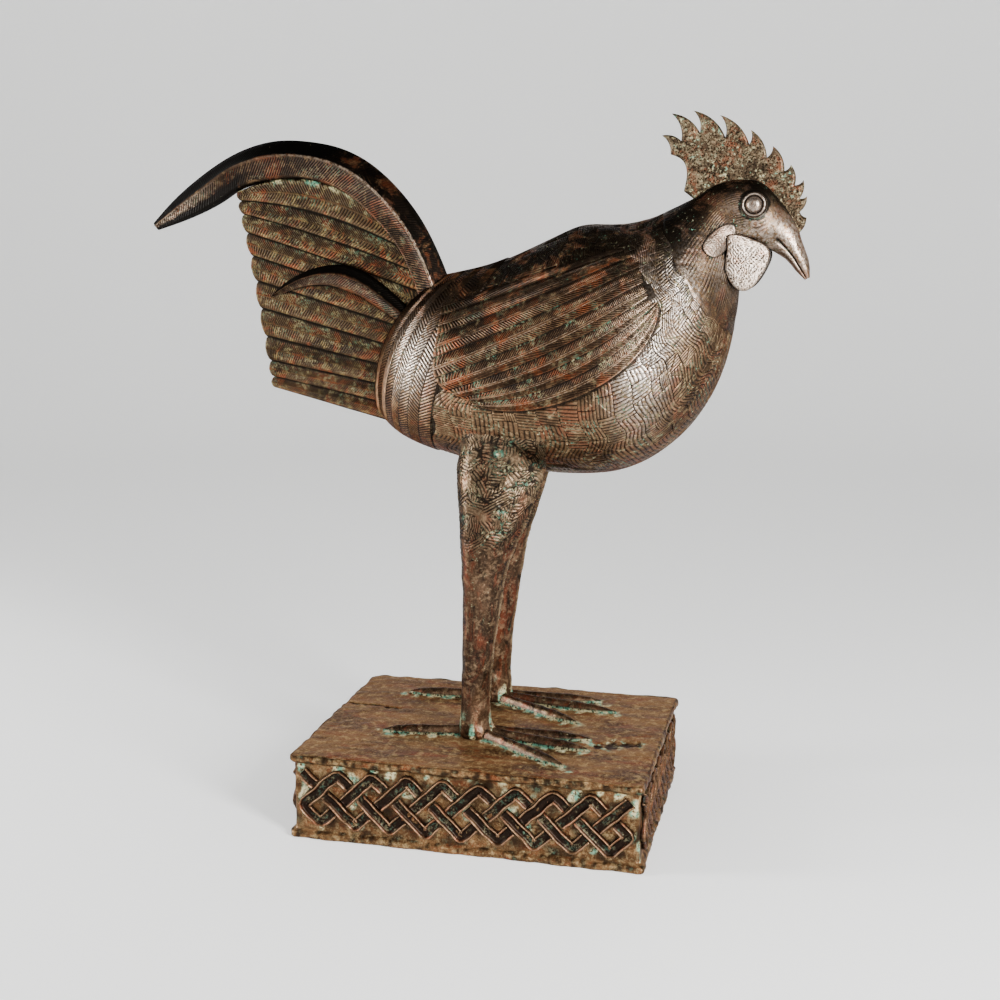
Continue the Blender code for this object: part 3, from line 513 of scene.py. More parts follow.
band_sides = []
plait_reach = (PANEL_HIGH - PANEL_LOW) / 2.0 - BAND_WIDTH / math.sqrt(2.0)
for wide, deep, half_turns in ((PLINTH_LENGTH, PLINTH_DEPTH, 0.0),
                               (PLINTH_DEPTH, PLINTH_LENGTH, 0.5),
                               (PLINTH_LENGTH, PLINTH_DEPTH, 1.0),
                               (PLINTH_DEPTH, PLINTH_LENGTH, 1.5)):
    panel = wide - 2.0 * (PANEL_RECESS + PLAIT_END_MARGIN) - BAND_WIDTH
    lines = np.stack([even_steps(path, BAND_STEPS) for path in plait_paths(panel, plait_reach)])
    lines[..., 0] -= panel / 2.0
    lines += 0.0004 * np.stack([ripple(lines, 0.014, 14), ripple(lines, 0.014, 15)], axis=-1)
    heading = np.gradient(lines, axis=1)
    heading /= np.linalg.norm(heading, axis=-1, keepdims=True)
    across_band = np.stack([-heading[..., 1], heading[..., 0]], axis=-1)
    offset, lift = np.array(BAND_PROFILE).T
    flat = lines[:, :, None] + (BAND_WIDTH / 2.0) * offset[:, None] * across_band[:, :, None]
    ends = np.sin(np.linspace(0.0, math.pi, BAND_STEPS)) ** 0.25
    rise = BAND_RISE * lift * (0.45 + 0.55 * ends[None, :, None])
    rise = rise + 0.00018 * ripple(flat, 0.004, 16)
    out = -(deep / 2.0 - PANEL_RECESS + rise)
    cosine, sine = math.cos(half_turns * math.pi), math.sin(half_turns * math.pi)
    band_sides.append(np.stack([
        flat[..., 0] * cosine - out * sine, flat[..., 0] * sine + out * cosine,
        (PANEL_LOW + PANEL_HIGH) / 2.0 + flat[..., 1]], axis=-1))
bands = np.concatenate(band_sides)
band_lift = np.array([lift for _, lift in BAND_PROFILE])
band_cut = np.clip(0.80 - 0.9 * band_lift, 0.0, 1.0)
# Painted highlight, with some rubbing, along the two raised edges of each band
band_crest_highlight = 0.55 * ease(0.9, 1.0, band_lift)
# Two last points of each band close its ends and have no marks
band_marks, band_rub_and_highlight = (np.tile(np.append(np.tile(mark, BAND_STEPS), (0.0, 0.0)), len(bands))
                        for mark in (band_cut, band_crest_highlight))
# Copper-brown cast bronze, pale along its raised edges with rubbing and painted highlight, and
# green in its grooves
band_finish = aged_bronze("rubbed band bronze", BAND_TONES, rough=0.36, packed=0.25,
                          speckle=0.25, spread=0.015, bare=0.7)
new_piece("plinth_plait", *gathered([loft(band) for band in bands]),
          {"carved_and_shade": band_marks, "rubbed_and_highlight": band_rub_and_highlight}, "plinth", band_finish)


# Trunk, neck, head and beak
# One egg-shaped form of cast bronze from the root of the tail to the tip of the beak. Wavy
# hackle lines are cut down the neck, finer lines round the eye, and the beak is left smooth.

FIGURE_SET_BACK = 15.0
SOLE_LEVEL = 61.3
# Crest x z, keel x z, half width, rearward bow and fullness below, from the tail to the beak
BODY = (
    (-38, 326.5, -90, 228.5, 13, 16, 0.10), (-26, 329.0, -77, 216.5, 33, 13, 0.18),
    (-4, 334.5, -56, 206.0, 47, 9, 0.22), (21, 344.5, -24, 197.0, 57, 4, 0.24),
    (45, 355.5, 6, 191.5, 65, 0, 0.24), (62, 361.5, 42, 189.0, 70, 0, 0.24),
    (80, 361.8, 76, 190.0, 72, 0, 0.22), (95, 363.0, 103, 197.5, 70, 0, 0.18),
    (107, 366.0, 128.5, 215.5, 64, 0, 0.14), (116, 369.5, 148, 240.5, 56, 0, 0.10),
    (124, 373.0, 160, 269.0, 45, 0, 0.06), (132, 377.5, 165.5, 297.0, 34, 0, 0.02),
    (139, 381.0, 168, 320.0, 26, 0, 0.00), (148, 386.5, 169, 334.0, 21, 0, 0.00),
    (159, 390.5, 175, 341.0, 20, 0, 0.00), (171, 391.0, 183, 343.0, 19, 0, 0.00),
    (183, 387.0, 188, 344.0, 16.5, 0, 0.00), (201, 366.5, 189.5, 343.5, 11, 0, 0.00),
    (207.5, 351.5, 197.5, 338.5, 8, 0, 0.00), (212.5, 338.5, 204.5, 331.0, 5, 0, 0.00),
    (213.8, 326.5, 210.8, 325.0, 1.8, 0, 0.00),
)
BODY_AROUND = 400
HACKLE_PROFILE = (0.0, 0.85, 1.0, 0.75)
HACKLE_DEPTH = 0.34
PATCH_END, PATCH_LEAN = 8.95, 1.75
MOUTH_ANGLE = 2.02
EYE_CENTRE = (176.5, 374.0)
# Outlines of the hanging skin under the eye, x and z, along which a painted shadow lies on the head
WATTLE = ((162, 355), (177, 351.5), (187.5, 344.5), (185, 332), (176, 319.5), (166, 320.5),
          (159.5, 333), (160.5, 346))
LOBE = ((164, 361), (165, 354), (158, 343), (151, 340.5), (145.5, 346), (148.5, 354), (157, 361))
# Places painted bright as highlights and rubbed by hands: x, z, reach in x, reach in z, strength
RUBBED_AND_HIGHLIGHT_SPOTS = ((108, 288, 15, 42, 1.0), (134, 326, 13, 30, 0.7), (-50, 274, 17, 23, 1.0),
                (172, 337, 22, 22, 0.8), (203, 348, 15, 22, 1.0), (178, 356, 17, 12, 0.6),
                (172, 374, 14, 9, 0.5))
HEAD_TONES = "#0E0C09 #251B12 #433122 #7A6044 #5A3222 #A39486 #96957C #578C78"


def place(points):
    """The figure's own millimetres, x along it, y from its middle plane, z from its soles,
    set back on the plinth and turned to metres."""
    return (points + (0.0, FIGURE_SET_BACK, SOLE_LEVEL)) / 1000.0


def cubic_through(rows, positions):
    """Natural cubic spline through rows of numbers, one row at 0, 1, 2 and so on."""
    rows = np.asarray(rows, dtype=float)
    last = len(rows) - 1
    system = np.eye(last + 1)
    inner = np.arange(1, last)
    system[inner, inner - 1], system[inner, inner], system[inner, inner + 1] = 1.0, 4.0, 1.0
    pull = np.zeros_like(rows)
    pull[1:-1] = 6.0 * (rows[:-2] - 2.0 * rows[1:-1] + rows[2:])
    bend = np.linalg.solve(system, pull)
    at = np.clip(np.asarray(positions, dtype=float), 0.0, last)
    low = np.minimum(at.astype(int), last - 1)
    up = (at - low)[..., None]
    down = 1.0 - up
    curve = down * rows[low] + up * rows[low + 1]
    return curve + ((down ** 3 - down) * bend[low] + (up ** 3 - up) * bend[low + 1]) / 6.0


def spline_at(rows, share):
    """The same spline read at shares of its whole run, 0 at its start and 1 at its end."""
    return cubic_through(rows, share * (len(rows) - 1))


def trunk(station, angle):
    """Point of the trunk's skin at an angle a from its crest.

    The middle of the chord from crest to keel, plus half the chord times cos a along it,
    plus the bow times sin squared a across it; and out by the half width times sin a, which
    the fullness makes larger below the middle than above it.
    """
    rows = cubic_through(BODY, station)
    crest_at, keel_at = rows[..., 0:2], rows[..., 2:4]
    half = np.linalg.norm(crest_at - keel_at, axis=-1, keepdims=True) / 2.0
    along = (crest_at - keel_at) / (2.0 * half)
    across = np.stack([-along[..., 1], along[..., 0]], axis=-1)
    cosine, sine = np.cos(angle), np.sin(angle)
    flat = ((crest_at + keel_at) / 2.0 + half * cosine[..., None] * along
            + (rows[..., 5] * sine ** 2)[..., None] * across)
    out = rows[..., 4] * sine * (1.0 - rows[..., 6] * cosine)
    return np.stack([flat[..., 0], out, flat[..., 1]], axis=-1)


def facing(surface, p, q):
    """Unit normal of a surface at p and q: the cross product of its two slopes."""
    step = 0.003
    along_p = surface(p + step, q) - surface(p - step, q)
    along_q = surface(p, q + step) - surface(p, q - step)
    normal = np.cross(along_p, along_q)
    return normal / np.maximum(np.linalg.norm(normal, axis=-1, keepdims=True), 1e-9)


def trunk_at(x, z):
    """Station and angle where the skin has the given x and z: the nearest of a coarse set of
    samples, then eight steps of Newton's method in both numbers."""
    sample_q, sample_p = np.meshgrid(np.linspace(0.2, 2.9, 20), np.linspace(0.0, 18.0, 37))
    sample = trunk(sample_p.ravel(), sample_q.ravel())
    gap = (x.ravel()[:, None] - sample[:, 0]) ** 2 + (z.ravel()[:, None] - sample[:, 2]) ** 2
    best = gap.argmin(axis=1)
    p, q = sample_p.ravel()[best], sample_q.ravel()[best]
    step = 0.002
    for _ in range(8):
        here = trunk(p, q)
        by_p = (trunk(p + step, q) - trunk(p - step, q)) / (2.0 * step)
        by_q = (trunk(p, q + step) - trunk(p, q - step)) / (2.0 * step)
        off_x, off_z = x.ravel() - here[:, 0], z.ravel() - here[:, 2]
        scale = by_p[:, 0] * by_q[:, 2] - by_p[:, 2] * by_q[:, 0]
        p = p + ((off_x * by_q[:, 2] - off_z * by_q[:, 0]) / scale).clip(-0.6, 0.6)
        q = q + ((off_z * by_p[:, 0] - off_x * by_p[:, 2]) / scale).clip(-0.2, 0.2)
        p, q = p.clip(0.0, 19.0), q.clip(0.02, 3.1)
    return p.reshape(x.shape), q.reshape(x.shape)


def rubbed_and_highlight_at(points):
    """How far the skin at some points is painted bright, with highlight and rubbing: the
    strongest of its spots.
    """
    return np.max([most * np.exp(-((points[..., 0] - x) / wide) ** 2
                                 - ((points[..., 2] - z) / tall) ** 2)
                   for x, z, wide, tall, most in RUBBED_AND_HIGHLIGHT_SPOTS], axis=0)


def painted_shade_on_top(normal):
    """How dark faces that look up are painted, as shade: the more they face up, the darker."""
    return 0.85 * ease(0.20, 0.80, normal[..., 2])


def patched_to(angle):
    """Station where the hatched patches end and the hackles begin: the one at the crest, plus
    the lean times the half of one less cos a."""
    return PATCH_END + PATCH_LEAN * (0.5 - 0.5 * np.cos(angle))


body_station = np.concatenate([np.linspace(0.02, 8.7, 34), np.linspace(8.8, 14.0, 80),
                               np.linspace(14.03, 19.98, 110)])
angle_grid, station_grid = np.meshgrid(turn_steps(BODY_AROUND), body_station)
beyond_patches = station_grid - patched_to(angle_grid)
in_neck = ease(0.0, 0.5, beyond_patches) * ease(15.0, 14.2, station_grid)
drift = 0.045 * ripple(np.stack([station_grid, 0.8 * angle_grid], axis=-1), 2.4, 30)
angle_grid = angle_grid + in_neck * drift * np.sin(angle_grid) ** 2
body = trunk(station_grid, angle_grid)
body_normal = facing(trunk, station_grid, angle_grid)
line_place = np.tile(HACKLE_PROFILE, BODY_AROUND // len(HACKLE_PROFILE))
beyond_eye = np.hypot(body[..., 0] - EYE_CENTRE[0], body[..., 2] - EYE_CENTRE[1])
ring_cut = (0.5 - 0.5 * np.cos(2.0 * math.pi * beyond_eye / 2.3)) * ease(8.5, 9.5, beyond_eye)
on_cheek = ease(17.0, 16.4, station_grid) * ease(14.0, 14.8, station_grid)
on_cheek = on_cheek * ease(22.0, 13.0, beyond_eye) * ease(-0.2, 0.6, ripple(body, 9.0, 31))
from_mouth = np.abs(np.minimum(angle_grid, 2.0 * math.pi - angle_grid) - MOUTH_ANGLE)
mouth = np.exp(-(from_mouth / 0.10) ** 2) * ease(16.5, 17.0, station_grid)
mouth_pinch = np.exp(-(from_mouth / 0.20) ** 2) * ease(16.3, 16.8, station_grid)
hackle = in_neck * (1.0 - line_place) * (0.65 + 0.40 * ripple(body, 14.0, 34))
under_carving = ease(0.1, -0.1, beyond_patches)
height = (-HACKLE_DEPTH * hackle - 0.25 * on_cheek * ring_cut - 0.55 * under_carving
          - 1.0 * mouth - 0.6 * mouth_pinch + 0.30 * ripple(body, 22.0, 32)
          * ease(17.5, 16.0, station_grid) + 0.08 * ripple(body, 5.0, 33))
body = body + body_normal * height[..., None]
# Painted shade round the foot of the eye, and painted shadow along the wattle and lobe
painted_shade_line = np.exp(-((beyond_eye - 9.2) / 0.9) ** 2)
for flap in (WATTLE, LOBE):
    painted_shade_line += np.exp(-(nearest(body[..., ::2], flap + flap[:1]) / 1.1) ** 2)
body_cut_and_shade = np.clip(0.85 * hackle + 0.7 * on_cheek * ring_cut + 0.9 * mouth
                   + 0.6 * under_carving + painted_shade_line, 0.0, 1.0)
# Dark bronze, with painted shade on the nape and crown where they face up, and silvery brown
# on the cheek, neck and beak, rubbed and with painted highlights
head_finish = aged_bronze("dark rubbed bronze", HEAD_TONES, rough=0.36, packed=0.12,
                          speckle=0.6, spread=0.03, grain=0.5)
new_piece("trunk_and_head", *loft(place(body)),
          {"carved_and_shade": body_cut_and_shade, "rubbed_and_highlight": rubbed_and_highlight_at(body), "black": painted_shade_on_top(body_normal)},
          "rooster", head_finish)


# Legs and toes
# Each thigh and shank is one taper of cast bronze with a soft crest down its front, and each
# foot has four half-round toes. They were modelled in the wax of the body and cast with it.

# Height, rear x, front x, half width, distance of its middle from the figure's
LEG = (
    (264, 6.0, 34.0, 8.0, 36.0), (229, -10.0, 46.0, 16.0, 34.0), (200, -20.5, 43.5, 19.0, 33.5),
    (176, -20.0, 35.0, 20.0, 36.0), (152, -18.5, 27.3, 17.8, 38.2),
    (129, -17.0, 20.0, 15.5, 39.5), (100, -16.0, 15.0, 13.0, 40.0),
    (62, -16.5, 9.2, 12.0, 40.0), (25, -17.5, 7.0, 11.5, 40.0),
    (6, -19.0, 8.0, 12.5, 40.0), (0.6, -18.5, 8.0, 11.5, 40.0),
)
# Name of each side, and the sign of y there
SIDES = (("near", -1), ("far", 1))
LEG_CREST = 0.35
FAR_LEG_BACK = 8.0
NEAR_SHANK_TRIM = 4.0
LEG_AROUND = 256
LEG_LEVELS = ((0.004, 0.75, 12), (0.8, 5.4, 200), (5.45, 9.996, 50))
SCRIBBLE_PITCH, SCRIBBLE_DEPTH = 2.1, 0.38
# Radius at which the thigh's skin is laid out flat for its scribbled lines
LEG_UNROLL = 28.0
BLEND_FROM = 189.0
THIGH_FILLET = 6.0
# Where a small pitted boss sits on the near thigh, x and z
BOSS = (13.0, 208.0)
TOE_SPRING = ((-4, 0), (2, 3), (3, 0), (2, -3))
LEG_FOOT_X, LEG_FOOT_OUT = -6.0, 40.0
NEAR_TOES = ((-69, -8), (82, 8), (84, -13), (72, -46))
FAR_TOES = ((-68, -2), (83, 11), (98, -11), (73, -40))
# Share of its length, half width and height of a toe
TOE_SECTIONS = ((0.0, 4.0, 8.0), (0.3, 3.8, 6.4), (0.65, 4.9, 5.8), (0.88, 3.4, 4.0),
                (1.0, 0.9, 1.3))
TOE_RINGS, TOE_AROUND = 44, 22
LEG_TONES = "#0E0A07 #221810 #423022 #786149 #542A1B #A08A6C #A9A07A #52806A"


def skin_out(x, z):
    """How far the trunk's skin stands from its middle plane at x and z, 0 beyond its edge."""
    p, q = trunk_at(x, z)
    found = trunk(p, q)
    missed = np.hypot(found[..., 0] - x, found[..., 2] - z) > 0.4
    return np.where(missed, 0.0, np.abs(found[..., 1]))


def leg(level, angle, side_sign):
    """Point of a leg's skin: an ellipse at each level, x its middle plus its reach times
    cos a, and y its half width times sin a, narrowed in front by the crest times cos a. The
    near shank is a little slimmer in front than the far one."""
    rows = cubic_through(LEG, level)
    shift = -FAR_LEG_BACK if side_sign > 0 else 0.0
    middle = (rows[..., 1] + rows[..., 2]) / 2.0 + shift
    reach = (rows[..., 2] - rows[..., 1]) / 2.0
    if side_sign < 0:
        trim = NEAR_SHANK_TRIM * ease(168.0, 118.0, rows[..., 0]) * ease(1.0, 14.0, rows[..., 0])
        middle, reach = middle - trim / 2.0, reach - trim / 2.0
    y = rows[..., 3] * np.sin(angle) * (1.0 - LEG_CREST * np.cos(angle))
    return np.stack([middle + reach * np.cos(angle), side_sign * rows[..., 4] + y,
                     rows[..., 0]], axis=-1)


def scribble(flat, pitch, seed):
    """Short parallel lines that turn from patch to patch, 1 in a line and 0 between.

    The signs of three broad ripples pick one of eight ways for a patch, and its lines are the
    half cosine of the distance along that way over the pitch, bent a little.
    """
    broad = np.stack([ripple(flat, 24.0, seed + k) for k in range(3)])
    way = 2.4 * ((broad > 0.0) * np.array((1, 2, 4))[:, None, None]).sum(axis=0)
    along = flat[..., 0] * np.cos(way) + flat[..., 1] * np.sin(way)
    line = 0.5 + 0.5 * np.cos(2.0 * math.pi * along / pitch + 1.2 * ripple(flat, 11.0, seed + 3))
    return np.maximum(line ** 1.2, ease(0.06, 0.02, np.abs(broad).min(axis=0)))


# Legs are brown to rust-red with green runs at the ankle, smooth and a little glossy
leg_finish = aged_bronze("red-brown leg bronze", LEG_TONES, rough=0.34, packed=0.5,
                         speckle=0.5, spread=0.018, grain=0.25, streak=(1.0, 1.0, 0.35),
                         bare=0.75)
for (side_name, side_sign), toe_tips in zip(SIDES, (NEAR_TOES, FAR_TOES)):
    leg_angle, leg_level = np.meshgrid(
        turn_steps(LEG_AROUND), np.concatenate([np.linspace(*run) for run in LEG_LEVELS]))
    leg_points = leg(leg_level, leg_angle, side_sign)
    leg_normal = facing(lambda p, q: leg(p, q, side_sign), leg_level, leg_angle)
    # Near the flank the outer side swells by a fillet, half of outer plus skin plus the root of
    # their difference squared plus the fillet squared, and higher up it sinks under the skin
    top = leg_points[:, 0, 2] > BLEND_FROM
    skin = skin_out(leg_points[top, :, 0], leg_points[top, :, 2])
    outer, up_leg = side_sign * leg_points[top, :, 1], leg_points[top, :, 2]
    fillet = 0.5 * (outer + skin + np.sqrt((outer - skin) ** 2 + THIGH_FILLET ** 2)) - outer
    outer = outer + fillet * ease(26.0, 34.0, outer) * ease(BLEND_FROM, 200.0, up_leg)
    flush = np.minimum(outer, skin - 2.4)
    leg_points[top, :, 1] = side_sign * (outer + ease(216.0, 228.0, up_leg) * (flush - outer))
    # A normal on the leg's front has to point forward
    outward_sign = np.sign(leg_normal[60, 0, 0])
    uneven = 0.35 * ripple(leg_points, 14.0, 21) + 0.15 * ripple(leg_points, 4.5, 22)
    round_front = np.minimum(leg_angle, 2.0 * math.pi - leg_angle)
    crest = 0.9 * np.exp(-(round_front / 0.16) ** 2) * ease(1.5, 3.5, leg_level)
    unrolled = np.stack([LEG_UNROLL * round_front, leg_points[..., 2]], axis=-1)
    scribbled = (scribble(unrolled, SCRIBBLE_PITCH, 44) * ease(5.4, 4.0, leg_level)
                 * ease(-1.6, 0.0, ripple(unrolled, 20.0, 48)))
    from_boss = np.hypot(leg_points[..., 0] - BOSS[0], leg_points[..., 2] - BOSS[1])
    from_boss += np.where(side_sign * leg_points[..., 1] > 34.0, 0.0, 99.0) + 50.0 * (side_sign > 0)
    boss = 1.6 * np.exp(-(from_boss / 5.0) ** 2) - 2.6 * np.exp(-(from_boss / 2.1) ** 2)
    leg_points += leg_normal * outward_sign * (uneven + crest + boss
                                               - SCRIBBLE_DEPTH * scribbled)[..., None]
    leg_cut = np.maximum(ease(0.3, 1.3, -uneven / 0.35), 1.1 * scribbled)
    leg_crust = ease(30.0, 4.0, leg_points[..., 2]) * ease(-0.2, 0.8, ripple(
        leg_points * (1.0, 1.0, 0.3), 9.0, 23)) + 0.5 * ease(5.5, 2.5, from_boss)
    new_piece(side_name + "_leg", *loft(place(leg_points)),
              {"carved_and_shade": 0.8 * leg_cut, "crust": leg_crust.clip(0.0, 1.0),
               "rubbed_and_highlight": crest + 0.4 * ease(140.0, 195.0, leg_points[..., 2])},
              "rooster", leg_finish)

    foot = np.array((LEG_FOOT_X - (FAR_LEG_BACK if side_sign > 0 else 0.0),
                     side_sign * LEG_FOOT_OUT))
    toe_parts = []
    share_of, half, high = cubic_through(TOE_SECTIONS, np.linspace(0.0, 4.0, TOE_RINGS)).T
    arc = np.linspace(0.0, math.pi, TOE_AROUND - 2)
    for spring, tip in zip(TOE_SPRING, toe_tips):
        start, end = foot + spring, foot + tip
        left = np.array((start[1] - end[1], end[0] - start[0])) / np.linalg.norm(end - start)
        centre = start + share_of[:, None] * (end - start)
        over = centre[:, None] + (half[:, None] * np.cos(arc))[..., None] * left
        crown = high[:, None] * np.sin(arc) ** 1.15
        over = np.concatenate([over, crown[..., None]], axis=-1)
        sole = np.stack([over[:, -1], over[:, 0]], axis=1) - (0.0, 0.0, 1.4)
        toe = np.concatenate([over, sole], axis=1)
        toe[..., 2] += 0.25 * ripple(toe, 7.0, 24) * (toe[..., 2] > 0.5)
        toe_parts.append(loft(place(toe)))
    toe_mesh = gathered(toe_parts)
    low_on = toe_mesh[0][:, 2] * 1000.0 - SOLE_LEVEL
    # The toes are painted dark towards the plinth, as shade where they meet it; a crust lies there
    # too
    new_piece(side_name + "_toes", *toe_mesh,
              {"carved_and_shade": ease(3.5, 0.5, low_on), "crust": 0.55 * ease(3.2, 0.8, low_on)},
              "rooster", leg_finish)


# Wings
# Each folded wing is laid on the flank in low relief: eight long feathers fan back from the
# shoulder, with double quill lines, and barbs slanting away from them on both sides.

WING_REAR = ((2, 241.5), (-12, 247), (-31.5, 258.5), (-32.5, 287), (-33, 312))
WING_FRONT = ((120.5, 307), (118.5, 316), (108, 339), (92, 349))
WING_DROP = ((3.5, -31.5), (37.0, -23.0))
WING_DROP_FADE = 0.30
WING_FEATHERS = 8
WING_STEP, WING_TOP_STEP = 2.2, 1.2
WING_GROOVE, WING_GROOVE_FADE = 0.9, 0.25
WING_BARBS = 78
WING_SWEEP = 0.052
BARB_PROFILE = (0.0, 0.6, 1.0, 0.55)
BARB_DEPTH = 0.55
# Across a feather from its lower edge: share of its width, relief, and how far barbs show
FEATHER_PROFILE = (
    (0.00, 0.00, 0.0), (0.05, 0.80, 0.2), (0.11, 1.00, 1.0), (0.27, 0.97, 1.0),
    (0.385, 0.93, 1.0), (0.41, 0.45, 0.0), (0.44, 1.08, 0.0), (0.47, 0.75, 0.0),
    (0.53, 0.75, 0.0), (0.56, 1.08, 0.0), (0.59, 0.45, 0.0), (0.615, 0.90, 1.0),
    (0.76, 0.86, 1.0), (0.91, 0.82, 1.0),
)
WING_TONES = "#0E0A07 #2B1E14 #533B29 #927352 #7C3F22 #C2A88F #9C9470 #4E8068"


def feather_rows(profile, feathers):
    """Places across a run of feathers, with the relief and the show of the barbs there."""
    place_in, relief, show = np.array(profile).T
    across = ((np.arange(feathers)[:, None] + place_in) / feathers).ravel()
    return (np.append(across, 1.0), np.append(np.tile(relief, feathers), 0.0),
            np.append(np.tile(show, feathers), 0.0))


def swept(across, feathers, columns, sweep):
    """Places along each row, swept towards the root by the distance from the quill.

    An even place b moves by the sweep times the share of the vane, fading at both ends as
    one less (2b - 1) to the eighth.
    """
    base = np.linspace(0.0, 1.0, columns)
    from_quill = np.abs(((across * feathers) % 1.0) - 0.5) * 2.0
    from_quill[-1] = 1.0
    return base + sweep * from_quill[:, None] * (1.0 - (2.0 * base - 1.0) ** 8)


def barb_cuts(count):
    """Depth of the cuts along a feather: one barb's profile over and over, and a last place."""
    return 1.0 - np.append(np.tile(BARB_PROFILE, count), 0.0)


def patches(points, hubs):
    """Faces of many grids [patch, row, column, 3], each closed by a fan from rim to hub."""
    count, rows, columns = points.shape[:3]
    index = np.arange(count * rows * columns).reshape(count, rows, columns)
    rim = walk_round(index)
    middle = index.size + np.repeat(np.arange(count)[:, None], rim.shape[1], axis=1)
    fans = np.stack([middle, np.roll(rim, -1, axis=1), rim], axis=-1).reshape(-1, 3)
    vertices = np.concatenate([points.reshape(-1, 3), hubs.reshape(-1, 3)])
    return vertices, grid_quads(index), fans


wing_across, wing_relief, wing_show = feather_rows(FEATHER_PROFILE, WING_FEATHERS)
wing_along = swept(wing_across, WING_FEATHERS, 4 * WING_BARBS + 1, WING_SWEEP)
wing_rear = spline_at(WING_REAR, wing_across)
wing_front = spline_at(WING_FRONT, wing_across)
fade = np.exp(-wing_across / WING_DROP_FADE)[:, None]
second = wing_rear + (wing_front - wing_rear) / 3.0 + fade * WING_DROP[0]
third = wing_front - (wing_front - wing_rear) / 3.0 + fade * WING_DROP[1]
u = wing_along[..., None]
wing = ((1 - u) ** 3 * wing_rear[:, None] + 3 * u * (1 - u) ** 2 * second[:, None]
        + 3 * u ** 2 * (1 - u) * third[:, None] + u ** 3 * wing_front[:, None])
wing_p, wing_q = trunk_at(wing[..., 0], wing[..., 1])
wing_skin = trunk(wing_p, wing_q)
wing_normal = facing(trunk, wing_p, wing_q)
wing_barb = barb_cuts(WING_BARBS)
wing_step = (WING_STEP + (WING_TOP_STEP - WING_STEP) * wing_across)[:, None]
barbs_show = wing_show[:, None] * ease(1.0, 0.93, wing_along) * ease(0.0, 0.02, wing_along)
wing_height = (wing_step - WING_GROOVE * ((1.0 - wing_relief) * wing_across
                                          ** WING_GROOVE_FADE)[:, None]
               - BARB_DEPTH * barbs_show * wing_barb)
sinking = np.maximum(ease(0.88, 1.0, wing_along) * ease(0.10, 0.30, wing_across)[:, None],
                     ease(0.92, 1.0, wing_across)[:, None])
wing_height -= (wing_step + 0.9) * sinking
wing_cut_and_shade = np.clip(barbs_show * wing_barb + 1.1 * (1.0 - wing_relief[:, None])
                   * ease(0.0, 0.06, wing_across)[:, None], 0.0, 1.0)
# A sunk rim all round carries the wing's edge down into the body, and is painted dark as shade
wing_height = np.pad(wing_height, 1, constant_values=-1.5)
wing_cut_and_shade = np.pad(wing_cut_and_shade, 1, constant_values=1.0)
wing_skin, wing_normal = (np.pad(w, ((1, 1), (1, 1), (0, 0)), mode="edge")
                          for w in (wing_skin, wing_normal))
wing_face = wing_skin + wing_normal * wing_height[..., None]
# Brown bronze with flames of copper red, and cream or green dashes left between the barbs
wing_finish = aged_bronze("copper-red wing bronze", WING_TONES, rough=0.35, packed=0.5,
                          speckle=0.35, spread=0.03, grain=0.12, bare=0.8)
quill_rub = 0.6 * np.pad(ease(1.0, 1.08, wing_relief), 1)[:, None]
# Near the shoulder the wing takes the breast's painted highlight and rubbing; its quills are rubbed
wing_marks = {"carved_and_shade": wing_cut_and_shade,
              "rubbed_and_highlight": np.maximum(0.8 * rubbed_and_highlight_at(wing_skin), quill_rub),
              "black": painted_shade_on_top(wing_normal)}
for side_name, side_sign in SIDES:
    sided = wing_face * (1.0, side_sign, 1.0)
    wing_hub = np.array((40.0, side_sign * 30.0, 290.0))
    new_piece(side_name + "_wing", *patches(place(sided[None]), place(wing_hub[None])),
              wing_marks, "rooster", wing_finish)


# Hatched patches
# Breast, belly and back are covered by small patches, each cut with its own short
# parallel lines, and divided by grooves. They were drawn in the wax with a pointed tool.

PATCH_STRIPS = 16
PATCH_CELLS = 40
PATCH_START = 2.42
# How a cell of one by one is cut in two patches; lines run parallel to corners one and two
PATCH_CUTS = np.array((
    (((0, 0), (1, 0), (1, 0.98), (0.98, 1)), ((1, 1), (0, 1), (0, 0.02), (0.02, 0))),
    (((0, 1), (0, 0), (0.98, 0), (1, 0.02)), ((1, 0), (1, 1), (0.02, 1), (0, 0.98))),
    (((0, 0), (0.5, 0), (0.5, 1), (0, 1)), ((1, 0), (1, 1), (0.5, 1), (0.5, 0))),
    (((0, 0), (0, 0.5), (1, 0.5), (1, 0)), ((0, 1), (1, 1), (1, 0.5), (0, 0.5))),
    (((1, 0), (1, 1), (0.02, 1), (0, 0.98)), ((0, 0.98), (0, 0), (0.98, 0), (1, 0.02))),
))
PATCH_ODDS = (0.36, 0.34, 0.05, 0.05, 0.20)
BREAST_TONES = "#120D08 #37291D #604934 #9A8160 #6E4430 #EADFD3 #A8A37F #4E8470"


